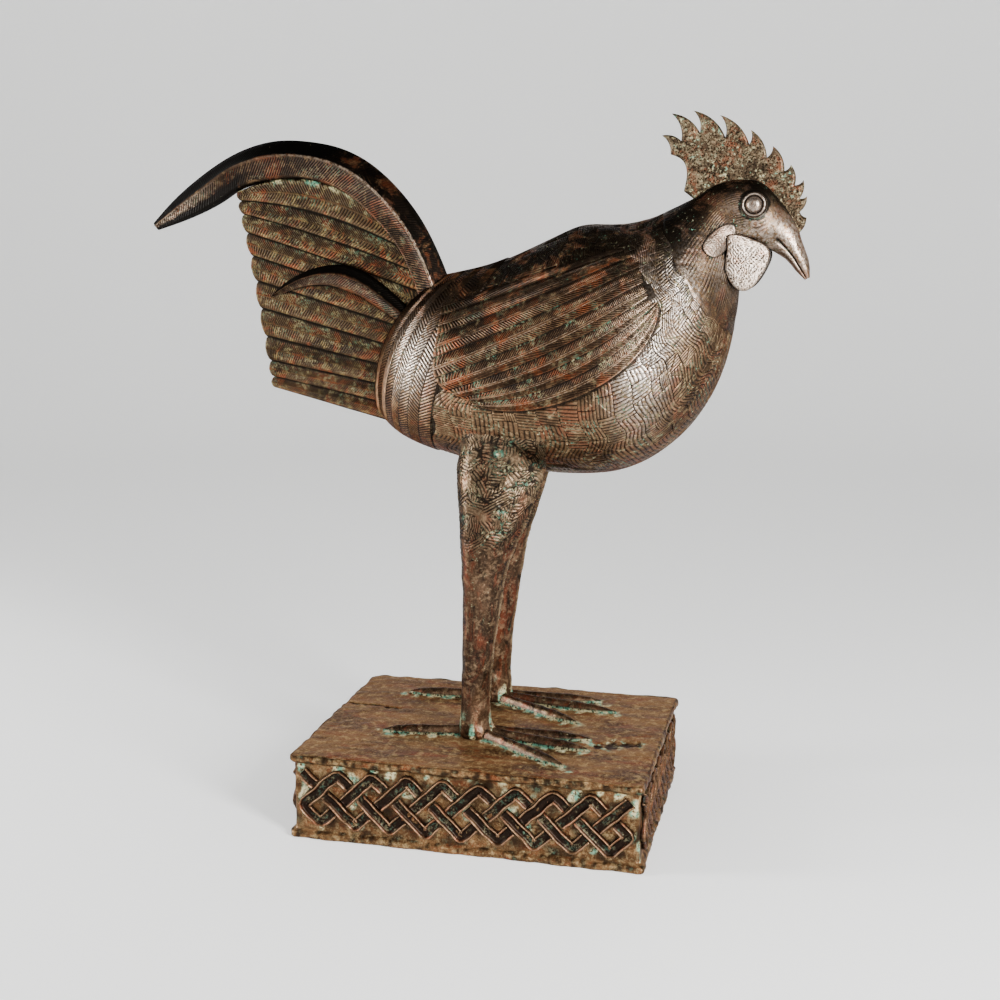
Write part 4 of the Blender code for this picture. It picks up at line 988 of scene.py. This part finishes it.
def hatched_patches(surface, cells, lines, depth, sink, sway, seed):
    """Low pads on a surface, two to a cell, each with grooves across it and a sunk rim.

    A pad's point is the bilinear mean of its four corners in the surface's own two numbers,
    set off along the normal by minus the depth times a rounded saw of its row.
    """
    draw = np.random.default_rng(seed)
    chosen = PATCH_CUTS[draw.choice(len(PATCH_CUTS), len(cells), p=PATCH_ODDS)]
    low, high = cells[:, None, None, 0:2], cells[:, None, None, 2:4]
    corner = (low + chosen * (high - low)).reshape(-1, 4, 2)
    rows = 4 * lines + 1
    r = np.linspace(0.0, 1.0, rows)
    r[1], r[-2] = 0.03, 0.97
    c = np.array((0.0, 0.05, 0.28, 0.5, 0.72, 0.95, 1.0))
    first = corner[:, 0, None] + c[:, None] * (corner[:, 1] - corner[:, 0])[:, None]
    second = corner[:, 3, None] + c[:, None] * (corner[:, 2] - corner[:, 3])[:, None]
    spot = first[:, None] + r[:, None, None] * (second - first)[:, None]
    wobble = np.stack([ripple(spot * (1.0, 6.0), 2.8, seed + 1) * sway,
                       ripple(spot * (1.0, 6.0), 2.8, seed + 2) * 0.27 * sway], axis=-1)
    spot = spot + wobble
    points = surface(spot[..., 0], spot[..., 1])
    normal = facing(surface, spot[..., 0], spot[..., 1])
    groove = (0.5 + 0.5 * np.cos(2.0 * math.pi * np.arange(rows) / 4.0)) ** 1.1
    groove = groove[:, None] * np.ones((len(spot), 1, len(c)))
    drop = depth * draw.uniform(0.6, 1.15, (len(spot), 1, 1)) * groove
    drop[:, (0, -1)], drop[:, :, (0, -1)] = sink, sink
    groove[:, (0, -1)], groove[:, :, (0, -1)] = 1.0, 1.0
    return points - normal * drop[..., None], normal, groove


def pad_hubs(points, normal):
    """A point under each pad's middle, which closes it below."""
    middle = points.shape[1] // 2
    return points[:, middle, 3] - 2.0 * normal[:, middle, 3]


def inside(points, outline):
    """Whether points in a plane lie inside an outline: an odd count of edges to one side."""
    x, z = points[..., 0, None], points[..., 1, None]
    x1, z1 = np.asarray(outline, dtype=float).T
    x2, z2 = np.roll(x1, -1), np.roll(z1, -1)
    reach = (x2 - x1) * (z - z1) / np.where(z2 == z1, 1.0, z2 - z1) + x1
    return ((((z1 > z) != (z2 > z)) & (x < reach)).sum(axis=-1) % 2).astype(bool)


def patched_skin(station, angle):
    """The trunk's skin with its stations stretched, so that the last row of patches leans
    along the edge of the hackles."""
    stretch = (patched_to(angle) - PATCH_START) / (PATCH_END - PATCH_START)
    return trunk(PATCH_START + (station - PATCH_START) * stretch, angle)


wing_outline = np.concatenate([wing[0, ::12], wing[::8, -1], wing[-1, ::-12],
                               wing[::-8, 0]])
strip_edge = np.linspace(PATCH_START, PATCH_END, PATCH_STRIPS + 1)
cell_edge = np.arange(PATCH_CELLS + 1) * 2.0 * math.pi / PATCH_CELLS
cell_q, cell_p = np.meshgrid(np.arange(PATCH_CELLS), np.arange(PATCH_STRIPS))
brick = 0.5 * (cell_p % 2) * 2.0 * math.pi / PATCH_CELLS
cells = np.stack([strip_edge[cell_p], cell_edge[cell_q] + brick, strip_edge[cell_p + 1],
                  cell_edge[cell_q + 1] + brick], axis=-1).reshape(-1, 4)
cell_corners = patched_skin(cells[:, (0, 2, 2, 0)], cells[:, (1, 1, 3, 3)])
cells = cells[~inside(cell_corners[..., ::2], wing_outline).all(axis=1)]
pad_points, pad_normal, pad_cut_and_shadow = hatched_patches(patched_skin, cells, 5, 0.36, 0.36, 0.11,
                                                   41)
# The patches pass under the wing, and a groove beside its lower edge keeps that edge clear; both
# are painted dark, as the wing's shadow
pad_flat = pad_points[..., ::2]
to_upper_edge = nearest(pad_flat, np.concatenate([wing[40::8, -1], wing[-1, ::-12]]))
to_lower_edge = nearest(pad_flat, wing[0, ::12])
beside_wing = np.maximum(inside(pad_flat, wing_outline) * ease(2.0, 9.0, to_upper_edge),
                         ease(2.0, 0.8, to_lower_edge))
pad_points -= pad_normal * (1.5 * beside_wing)[..., None]
pad_cut_and_shadow = np.clip(np.maximum(pad_cut_and_shadow, 1.2 * beside_wing), 0.0, 1.0)
# Warm brown bronze, its lines holding cream and green, pale on the breast and neck with painted
# highlights and rubbing
breast_finish = aged_bronze("hatched breast bronze", BREAST_TONES, rough=0.32, packed=0.85,
                            speckle=0.62, spread=0.03, grain=0.15, bare=0.82)
on_far_side = pad_points[:, pad_points.shape[1] // 2, 3, 1] > 0.0
for side_name, chosen in (("near", ~on_far_side), ("far", on_far_side)):
    side_pads, side_normal = pad_points[chosen], pad_normal[chosen]
    new_piece(side_name + "_hatched_patches",
              *patches(place(side_pads), place(pad_hubs(side_pads, side_normal))),
              {"carved_and_shade": 0.72 * pad_cut_and_shadow[chosen], "rubbed_and_highlight": rubbed_and_highlight_at(side_pads),
               "black": painted_shade_on_top(side_normal)}, "rooster", breast_finish)


# Collar at the tail
# Behind the wings a band of eight narrow columns runs round the body, cut with barbs that
# slant one way and the other like herringbone, and a smooth rim closes it towards the tail.

COLLAR_COLUMNS = 8
COLLAR_END = 2.4
COLLAR_BARBS = 158
COLLAR_SLANT = 0.105
COLLAR_TONES = "#140E09 #37261A #5C412D #937451 #704028 #EADCCB #B3A687 #5E8570"

column_step = np.array((0.0, 0.08, 0.36, 0.64, 0.92))
collar_at = np.concatenate([[-0.30, -0.16, 0.0], (np.arange(COLLAR_COLUMNS)[:, None]
                            + column_step).ravel(), [COLLAR_COLUMNS, COLLAR_COLUMNS + 0.15]])
collar_angle, collar_row = np.meshgrid(turn_steps(4 * COLLAR_BARBS), collar_at)
zigzag = np.abs((collar_row.clip(0.0, COLLAR_COLUMNS) % 2.0) - 1.0)
collar_station = (collar_row / COLLAR_COLUMNS).clip(-0.02, 2.0) * COLLAR_END + 0.05
collar_angle = collar_angle + COLLAR_SLANT * zigzag
collar = trunk(collar_station, collar_angle)
collar_normal = facing(trunk, collar_station, collar_angle)
column_edge = np.abs(((collar_row + 0.5) % 1.0) - 0.5)
on_column = ease(0.02, 0.07, column_edge) * (collar_row > 0.0) * (collar_row < COLLAR_COLUMNS)
barb = 1.0 - np.tile(BARB_PROFILE, COLLAR_BARBS)[None, :]
rim_bead = np.exp(-((collar_row + 0.12) / 0.12) ** 2)
collar_height = (0.45 + 0.35 * on_column - BARB_DEPTH * on_column * barb + 0.25 * rim_bead)
collar_height[0], collar_height[-1] = -3.0, -3.0
collar = collar + collar_normal * collar_height[..., None]
collar_cut = np.clip(on_column * barb + (1.0 - on_column) * (collar_row > -0.05)
                     + 0.45 * (collar_row < -0.05), 0.0, 1.0)
# Bronze pale and silvery on its barbs where a painted highlight lies, partly rubbing, dark in the
# lines between
collar_finish = aged_bronze("rubbed collar bronze", COLLAR_TONES, rough=0.32, packed=0.1,
                            speckle=0.25, spread=0.03)
new_piece("collar", *loft(place(collar)),
          {"carved_and_shade": collar_cut, "rubbed_and_highlight": rubbed_and_highlight_at(collar) * ease(0.0, 2.2, collar_row),
           "black": painted_shade_on_top(collar_normal)}, "rooster", collar_finish)


# Tail fan
# Ten flat feathers stand on edge in one upright fan, cast with the body. Each has a lip
# along its lower edge, a quill along its middle, and barbs that sweep back from the quill.

TAIL_REAR = ((-172, 243), (-175, 263), (-181, 301), (-187, 339), (-193, 369), (-195.5, 386))
TAIL_ROOT = ((-72, 219), (-66, 262), (-58, 310), (-62, 352))
TAIL_FEATHERS = 10
TAIL_ARCH, TAIL_ARCH_POWER = 22.0, 10.0
TAIL_SCALLOP = 3.0
TAIL_REAR_HALF, TAIL_ROOT_HALF = 3.8, 6.0
TAIL_GROOVE = 1.5
TAIL_BARBS = 64
TAIL_SWEEP = -0.062
# Three more rows round the rear edge off: distance out, share of the thickness, barbs' cut
TAIL_END = ((1.3, 0.12, 1.0), (1.1, 0.60, 0.5), (0.6, 0.88, 0.0))
# Across a tail feather from its lower edge, as for the wing, with one thin quill line
TAIL_PROFILE = (
    (0.00, 0.00, 0.0), (0.05, 0.10, 0.0), (0.10, 0.95, 0.4), (0.30, 0.98, 1.0),
    (0.52, 0.90, 1.0), (0.55, 0.70, 0.0), (0.57, 1.00, 0.0), (0.59, 0.70, 0.0),
    (0.62, 0.88, 1.0), (0.78, 0.84, 1.0), (0.93, 0.80, 1.0),
)
TAIL_TONES = "#0E0A06 #261B12 #473524 #887348 #703821 #B09A72 #A09870 #4A7C64"


def both_faces(values):
    """Rows of the near face, each followed by the same row backwards for the far face."""
    return np.concatenate([values, values[:, ::-1]], axis=1)


tail_across, tail_relief, tail_show = feather_rows(TAIL_PROFILE, TAIL_FEATHERS)
tail_along = swept(tail_across, TAIL_FEATHERS, 4 * TAIL_BARBS + 1, TAIL_SWEEP)
tail_along = np.pad(tail_along, ((0, 0), (len(TAIL_END), 0)))
end_out, end_thin, end_cut = np.array(TAIL_END).T
rear_out = np.append(end_out, np.zeros(4 * TAIL_BARBS + 1))
rear_thin = np.append(end_thin, np.ones(4 * TAIL_BARBS + 1))
tail_barb = np.append(end_cut, barb_cuts(TAIL_BARBS))
rear_line = spline_at(TAIL_REAR, tail_across)
root_line = spline_at(TAIL_ROOT, tail_across)
rear_line[:, 0] += TAIL_SCALLOP * (1.0 - np.abs(np.sin(tail_across * TAIL_FEATHERS
                                                       * math.pi)) ** 0.7)
tail = rear_line[:, None] + tail_along[..., None] * (root_line - rear_line)[:, None]
tail[..., 1] += (TAIL_ARCH * tail_across[:, None] ** TAIL_ARCH_POWER
                 * 4.0 * tail_along * (1.0 - tail_along))
tail[..., 0] -= rear_out
tail_half = TAIL_REAR_HALF + (TAIL_ROOT_HALF - TAIL_REAR_HALF) * tail_along
tail_thick = (tail_half - TAIL_GROOVE * (1.0 - tail_relief[:, None])
              - BARB_DEPTH * 1.15 * tail_show[:, None] * tail_barb) * rear_thin
near_face = np.stack([tail[..., 0], -tail_thick, tail[..., 1]], axis=-1)
near_face[..., 1] += 0.3 * ripple(tail, 30.0, 51)
far_face = near_face * (1.0, -1.0, 1.0)
tail_loop = np.concatenate([near_face, far_face[::-1]]).transpose(1, 0, 2)
tail_cut = np.clip(tail_show[:, None] * tail_barb + (1.0 - tail_relief[:, None]) * 1.1, 0.0, 1.0)
# A pale crust has stayed along the fan's top, under the great sickle
tail_crust = (0.8 * ease(0.975, 0.995, tail_across)[:, None]
              * ease(-0.6, 0.5, ripple(tail, 16.0, 52)))
# Olive-brown bronze with rust on the vanes and cream and green packed between the barbs
tail_finish = aged_bronze("olive tail bronze", TAIL_TONES, rough=0.36, packed=0.5,
                          speckle=0.3, spread=0.022, grain=0.12, bare=0.75)
# The joints between the feathers are deep and dark
tail_joint = ease(0.75, 0.2, tail_relief)[:, None] * np.ones(tail_cut.shape)
new_piece("tail_fan", *loft(place(tail_loop), zip_ends=True),
          {"carved_and_shade": both_faces(tail_cut.T), "crust": both_faces(tail_crust.T),
           "black": both_faces(tail_joint.T)}, "rooster", tail_finish)


# Sickle feathers
# A great curved feather springs from the back over the tail, and a small one lies on each
# flank of the fan. Each has a smooth upper face painted near-black as shade, a bright ridge and
# a hatched face below.

# Outer x z, inner x z, half thickness at the ridge, half width of the underside
SICKLE = (
    (-264.0, 363.0, -260.5, 358.0, 2.5, 1.5), (-245.0, 381.0, -234.0, 366.5, 5.5, 2.5),
    (-222.0, 398.0, -208.0, 378.0, 8.5, 3.5), (-197.0, 412.0, -190.0, 388.0, 10.5, 4.5),
    (-170.0, 420.0, -166.0, 392.5, 11.5, 5.0), (-145.0, 420.5, -146.0, 393.0, 12.0, 5.0),
    (-119.0, 416.0, -126.0, 388.5, 12.0, 5.0), (-96.0, 405.5, -108.0, 379.0, 12.0, 5.0),
    (-76.0, 389.0, -93.0, 366.0, 12.0, 5.0), (-59.0, 368.5, -80.0, 352.0, 12.0, 5.0),
    (-47.0, 347.5, -70.0, 337.0, 12.0, 5.0), (-38.0, 326.5, -62.0, 318.0, 12.0, 5.0),
    (-32.0, 307.0, -56.0, 299.0, 11.0, 5.0),
)
SICKLE_RIDGE, SICKLE_CREST = 0.38, 1.2
SICKLE_BARBS, SICKLE_SLANT = 140, -0.075
# Outer x z, inner x z and rise above the tail's middle
SIDE_SICKLE = (
    (-171.0, 311.0, -169.5, 309.5, 5.0), (-150.0, 325.5, -147.0, 316.5, 8.5),
    (-121.0, 333.5, -126.0, 318.0, 11.0), (-98.0, 328.5, -104.0, 312.0, 12.5),
    (-78.0, 315.0, -88.0, 303.0, 13.0), (-58.0, 297.0, -68.0, 290.0, 12.0),
)
SIDE_SICKLE_RIDGE, SIDE_SICKLE_SHELF = 0.42, 0.62
SIDE_SICKLE_BARBS, SIDE_SICKLE_SLANT = 60, -0.12
# Down one side of a sickle: share from outer edge to inner, share of the barbs' show
SICKLE_ROWS = ((0.0, 0.0), (0.12, 0.4), (0.26, 0.4), (0.34, 0.0), (0.38, 0.0), (0.42, 0.0),
               (0.45, 1.0), (0.58, 1.0), (0.72, 1.0), (0.86, 1.0), (0.90, 0.0), (1.0, 0.0))
SICKLE_TONES = "#0A0806 #1B130C #34241A #6C543A #542B19 #BDAA94 #857E62 #4B705A"


sickle_share, sickle_show = np.array(SICKLE_ROWS).T


def sickle_faces(table, barbs, slant, ridge):
    """Rows of a sickle at four even places to a barb, each read a little further on by its
    share of the slant across the lower face.

    Gives the places, the spline's numbers, the flat outline from outer edge to inner, and
    how far each row is up the upper face and down the lower one.
    """
    base = np.linspace(0.0, 1.0, 4 * barbs + 1)
    lean = slant * (sickle_share - SICKLE_RIDGE)
    spot = base[:, None] + lean * (1.0 - (2.0 * base[:, None] - 1.0) ** 8)
    rows = spline_at(table, spot.clip(0.0, 1.0))
    flat = rows[..., 0:2] + sickle_share[:, None] * (rows[..., 2:4] - rows[..., 0:2])
    return (base, rows, flat, np.clip(sickle_share / ridge, 0.0, 1.0),
            np.clip((sickle_share - ridge) / (1.0 - ridge), 0.0, 1.0))


sickle_base, sickle_rows, sickle_flat, upper, lower = sickle_faces(
    SICKLE, SICKLE_BARBS, SICKLE_SLANT, SICKLE_RIDGE)
ridge_half, inner_half = sickle_rows[..., 4], sickle_rows[..., 5]
sickle_half = (SICKLE_CREST + (ridge_half - SICKLE_CREST) * upper
               + (inner_half - ridge_half) * lower)
sickle_half[:, -1] *= 0.35
# The ridge's bead and the barbs fade where the sickle is thin, at its tip
full_thick = np.minimum(ridge_half / 8.0, 1.0)
sickle_half += 0.6 * np.exp(-((sickle_share - SICKLE_RIDGE) / 0.035) ** 2) * full_thick
sickle_barb = barb_cuts(SICKLE_BARBS)[:, None]
sickle_half -= BARB_DEPTH * 1.3 * sickle_show * sickle_barb * full_thick
sickle_near = np.stack([sickle_flat[..., 0], -sickle_half, sickle_flat[..., 1]], axis=-1)
sickle_loop = np.concatenate([sickle_near, (sickle_near * (1.0, -1.0, 1.0))[:, ::-1]], axis=1)
# Painted shade: the upper face and the inner edge are black, a little less towards the root, and so
# is the inner part of the lower face near the tip
shaded_face = np.where((sickle_share < 0.36) | (sickle_share > 0.93), 1.0, 0.0)
shaded_tip = ease(0.62, 0.66, sickle_share) * ease(0.31, 0.27, sickle_base)[:, None]
shaded_above = shaded_face * (1.0 - 0.2 * ease(0.45, 0.60, sickle_base)[:, None])
sickle_painted_shade = np.maximum(shaded_above, shaded_tip)
on_ridge = np.exp(-((sickle_share - SICKLE_RIDGE) / 0.03) ** 2)
on_lower = (sickle_share > 0.4) & (sickle_share < 0.9)
sickle_rub = (0.65 * ease(0.1, 0.8, sickle_base)[:, None] * on_ridge
              + np.where(on_lower, 0.55 * ease(0.22, 0.06, sickle_base)[:, None], 0.0))
# Bronze painted near-black as shade above and under the tip, brown below, with a line of bright
# metal along the ridge
sickle_finish = aged_bronze("dark sickle bronze", SICKLE_TONES, rough=0.34, packed=0.4,
                            speckle=0.3, spread=0.03, grain=0.15, bare=0.8)
new_piece("great_sickle_feather", *loft(place(sickle_loop)),
          {"carved_and_shade": both_faces(sickle_show * sickle_barb), "rubbed_and_highlight": both_faces(sickle_rub),
           "black": both_faces(sickle_painted_shade)}, "rooster", sickle_finish)

small_base, small_rows, small_flat, upper, lower = sickle_faces(
    SIDE_SICKLE, SIDE_SICKLE_BARBS, SIDE_SICKLE_SLANT, SIDE_SICKLE_RIDGE)
rise_at = small_rows[..., 4] * (SIDE_SICKLE_SHELF + (1.0 - SIDE_SICKLE_SHELF) * (upper - lower))
rise_at += 0.45 * np.exp(-((sickle_share - SIDE_SICKLE_RIDGE) / 0.05) ** 2)
small_cut = sickle_show * barb_cuts(SIDE_SICKLE_BARBS)[:, None]
rise_at -= BARB_DEPTH * small_cut
# The side sickles' upper faces and inner edges are painted black, as shade
small_painted_shade = np.tile(np.append(shaded_face, shaded_face[::-1]), (len(small_base), 1))
small_marks = np.concatenate([small_cut, np.ones(small_cut.shape)], axis=1)
for side_name, side_sign in SIDES:
    small_face = np.stack([small_flat[..., 0], side_sign * rise_at, small_flat[..., 1]],
                          axis=-1)
    small_root = small_face[:, ::-1] * (1.0, 0.0, 1.0)
    new_piece(side_name + "_side_sickle",
              *loft(place(np.concatenate([small_face, small_root], axis=1))),
              {"carved_and_shade": small_marks, "black": small_painted_shade}, "rooster", sickle_finish)


# Comb
# A thin upright plate of bronze with ten flame-like teeth that lean back, cast in one with
# the crown of the head, and stippled all over with a point.

COMB_TIPS = (
    (112.8, 420.2), (118.9, 434.4), (133.5, 436.0), (151.1, 432.8), (171.6, 423.0),
    (186.5, 412.3), (198.6, 400.1), (207.1, 390.1), (209.8, 379.7), (210.0, 365.9),
)
COMB_NOTCHES = (
    (119.0, 407.7), (126.0, 416.4), (138.2, 421.7), (155.2, 418.2), (171.0, 413.6),
    (182.8, 404.9), (194.5, 396.1), (201.6, 386.8), (205.0, 378.3), (205.5, 369.6),
    (205.0, 355.5),
)
COMB_BACK = ((119.0, 407.7), (127.0, 403.7), (130.2, 395.0), (128.5, 383.5))
COMB_ROOT = ((128.5, 383.5), (141, 374), (150, 378), (168, 382), (184, 376), (198, 357))
COMB_HALF = 2.3
TOOTH_BELLY, TOOTH_HOLLOW = 0.13, 0.14
TOOTH_COLUMNS, TOOTH_ROWS, COMB_ROWS = 13, 16, 34
COMB_TONES = "#120E09 #2F251B #4B3D2E #86765C #6C3F2B #B9A793 #9C9876 #548470"


def bowed(start, end, bow, share_of):
    """Curve from start to end, bowed to the left by 4t(1-t) times a share of its length."""
    start, end = np.asarray(start, dtype=float), np.asarray(end, dtype=float)
    run = end - start
    left = np.stack([-run[..., 1], run[..., 0]], axis=-1)
    t = share_of[:, None]
    return (start[..., None, :] + t * run[..., None, :]
            + 4.0 * t * (1.0 - t) * bow * left[..., None, :])


tips, notches = np.array(COMB_TIPS), np.array(COMB_NOTCHES)
up_tooth = np.linspace(0.0, 1.0, TOOTH_ROWS) ** 0.9
back_edge = bowed(notches[:-1], tips, -TOOTH_HOLLOW, up_tooth)
front_edge = bowed(tips, notches[1:], TOOTH_BELLY, 1.0 - up_tooth)
over_tooth = np.linspace(0.0, 1.0, TOOTH_COLUMNS)[:, None]
teeth = back_edge[:, :, None] + over_tooth * (front_edge - back_edge)[:, :, None]
blunt = over_tooth * (0.5, -0.2)
teeth[:, -1] = tips[:, None] + blunt - (0.25, 0.0)
notch_line = np.concatenate([teeth[:, 0, :-1].reshape(-1, 2), teeth[-1:, 0, -1]])
root_spots = np.linspace(0.0, len(COMB_ROOT) - 1.0, len(notch_line))
root_at = np.stack([np.interp(root_spots, np.arange(len(COMB_ROOT)), line)
                    for line in zip(*COMB_ROOT)], axis=-1)
up_plate = np.linspace(0.0, 1.0, COMB_ROWS)
plate = root_at + up_plate[:, None, None] * (notch_line - root_at)
# The plate's back edge bows out as its curve does, fading over the first part of its width
back_spots = np.linspace(len(COMB_BACK) - 1.0, 0.0, COMB_ROWS)
back_curve = cubic_through(COMB_BACK, back_spots)
fade_in = (1.0 - np.linspace(0.0, 1.0, len(notch_line))) ** 6
plate += fade_in[:, None] * (back_curve - plate[:, 0])[:, None]
plate_index = np.arange(plate.size // 2).reshape(plate.shape[:2])
free = teeth[:, 1:]
free_index = plate_index.size + np.arange(free.size // 2).reshape(free.shape[:3])
foot_index = plate_index[-1][np.arange(len(tips))[:, None] * (TOOTH_COLUMNS - 1)
                             + np.arange(TOOTH_COLUMNS)]
tooth_index = np.concatenate([foot_index[:, None], free_index], axis=1)
comb_flat = np.concatenate([plate.reshape(-1, 2), free.reshape(-1, 2)])
near_quads = np.concatenate([grid_quads(plate_index), grid_quads(tooth_index)])
rim_runs = [plate_index[0], plate_index[:, -1], plate_index[::-1, 0]]
rim_pairs = [np.stack([run[:-1], run[1:]], axis=-1) for run in rim_runs]
rim_pairs += [np.stack([edge[:, :-1].ravel(), edge[:, 1:].ravel()], axis=-1)
              for edge in (tooth_index[:, :, -1], tooth_index[:, -1, ::-1],
                           tooth_index[:, ::-1, 0])]
rim_pairs = np.concatenate(rim_pairs)
rim_points = np.unique(rim_pairs)
to_rim = np.sqrt(((comb_flat[:, None] - comb_flat[rim_points]) ** 2).sum(-1)).min(axis=1)
stipple = ease(0.2, 1.0, ripple(comb_flat, 2.1, 61) + 0.4 * ripple(comb_flat, 1.3, 62))
comb_out = (COMB_HALF * (0.35 + 0.65 * ease(0.0, 1.6, to_rim)) + 0.5 * ease(26.0, 0.0,
            comb_flat[:, 1] - 360.0 - 0.16 * comb_flat[:, 0]) - 0.35 * stipple
            * ease(0.5, 2.0, to_rim))
comb_size = len(comb_flat)
comb_points = np.concatenate([np.insert(comb_flat, 1, -comb_out, axis=1),
                              np.insert(comb_flat, 1, comb_out, axis=1)])
comb_quads = np.concatenate([
    near_quads, near_quads[:, ::-1] + comb_size,
    np.stack([rim_pairs[:, 1], rim_pairs[:, 0], rim_pairs[:, 0] + comb_size,
              rim_pairs[:, 1] + comb_size], axis=-1)])
# Stippled bronze, freckled with rust, cream and green
comb_finish = aged_bronze("stippled comb bronze", COMB_TONES, rough=0.42, speckle=1.0,
                          spread=0.014, grain=0.8, bare=0.65)
new_piece("comb", place(comb_points), comb_quads, np.empty((0, 3), dtype=int),
          {"carved_and_shade": np.tile(0.8 * stipple, 2)}, "rooster", comb_finish)


# Eyes, wattles and ear lobes
# Round eyeballs in raised rings, hanging wattles pricked all over, and small smooth lobes
# behind them, all of the same wax and bronze as the head.

# Radius and height from the middle out
EYE_PROFILE = (
    (0.05, 4.4), (1.5, 4.3), (2.9, 3.9), (4.0, 3.2), (4.8, 2.4), (5.3, 1.5), (5.6, 0.8),
    (5.9, 0.7), (6.1, 1.2), (6.3, 2.0), (6.7, 2.4), (7.1, 2.5), (7.5, 2.2), (7.9, 1.3),
    (8.3, 0.2), (8.5, -2.0), (8.5, -6.0),
)
EYE_PROUD, EYE_LEAN = 0.4, 0.35
EYE_AROUND = 64
# Name, outline, depth of its root, how far its rear and its front stand out, and pricks
LAPPETS = (("wattle", WATTLE, 9.0, 26.5, 17.0, 1.0), ("ear_lobe", LOBE, 10.0, 14.0, 14.0, 0.3))
LAPPET_AROUND, LAPPET_RINGS = 96, 34
LAPPET_PROUD = 2.2
SKIN_TONES = "#1A1410 #54453A #6F5F51 #928070 #6C4C3A #A79C91 #A29B86 #6A806E"


def lappet(outline, root, rear_out, front_out, pricks):
    """Flap with a rounded rim: rays from its middle to its outline, its outer face domed a little
    and leaning in towards the beak, its rim turned over and carried in to the head. Its mark
    holds the pricks and painted shadow on the turned rim."""
    closed = list(outline) + list(outline[:3])
    edge = cubic_through(closed, np.linspace(1.0, len(outline) + 1.0, LAPPET_AROUND + 1)[:-1])
    middle = edge.mean(axis=0)
    inner = np.linspace(0.02, 0.90, LAPPET_RINGS - 8)
    reach = np.concatenate([inner, [0.94, 0.97, 0.99, 1.0, 1.0, 1.0, 1.0, 0.9]])
    drop = np.concatenate([0.8 * inner ** 2, [0.85, 1.1, 1.5, 2.1, 3.0, 4.5, 7.0, 8.0]])
    flat = middle + reach[:, None, None] * (edge - middle)
    prick = pricks * ease(0.0, 0.7, ripple(flat, 1.9, 71)) * ease(1.0, 0.93, reach)[:, None]
    lean = (flat[..., 0] - edge[:, 0].min()) / np.ptp(edge[:, 0])
    free = rear_out + (front_out - rear_out) * lean
    on_skin = skin_out(flat[..., 0], flat[..., 1]) + LAPPET_PROUD
    lap = ease(-1.5, 1.5, on_skin - free)
    out = np.maximum((1.0 - lap) * free + lap * on_skin - drop[:, None] - 0.45 * prick, root)
    return (np.stack([flat[..., 0], out, flat[..., 1]], axis=-1),
            np.clip(prick + ease(1.2, 2.6, drop)[:, None], 0.0, 1.0))


# Bare-skin parts are silvery brown, rubbed and with painted highlights; the pricks in them are
# dark, and the turned rims of the flaps are painted dark as shadow
skin_finish = aged_bronze("rubbed skin bronze", SKIN_TONES, rough=0.36, packed=0.05,
                          speckle=0.0, spread=0.02, grain=0.3)
for side_name, side_sign in SIDES:
    for flap_name, *shape in LAPPETS:
        flap, flap_cut_and_shadow = lappet(*shape)
        new_piece(f"{side_name}_{flap_name}", *loft(place(flap * (1.0, side_sign, 1.0))),
                  {"carved_and_shade": flap_cut_and_shadow, "rubbed_and_highlight": rubbed_and_highlight_at(flap)}, "rooster", skin_finish)
    eye_p, eye_q = trunk_at(np.array([EYE_CENTRE[0]]), np.array([EYE_CENTRE[1]]))
    eye_at = trunk(eye_p, eye_q)[0] * (1.0, side_sign, 1.0)
    eye_normal = facing(trunk, eye_p, eye_q)[0] * (1.0, side_sign, 1.0)
    axis = np.array((0.0, side_sign, 0.0)) + EYE_LEAN * eye_normal
    axis /= np.linalg.norm(axis)
    level = np.cross(axis, (0.0, 0.0, 1.0))
    level /= np.linalg.norm(level)
    radius, proud = np.array(EYE_PROFILE).T
    around = turn_steps(EYE_AROUND)
    eye = (eye_at + (proud + EYE_PROUD)[:, None, None] * axis
           + radius[:, None, None] * (np.cos(around)[:, None] * level
                                      + np.sin(around)[:, None] * np.cross(axis, level)))
    eye_cut = np.repeat((np.exp(-((radius - 5.8) / 0.35) ** 2)
                         + ease(7.6, 8.2, radius))[:, None], EYE_AROUND, axis=1)
    new_piece(side_name + "_eye", *loft(place(eye)),
              {"carved_and_shade": eye_cut.clip(0.0, 1.0), "rubbed_and_highlight": 0.6 * (1.0 - eye_cut)},
              "rooster", skin_finish)
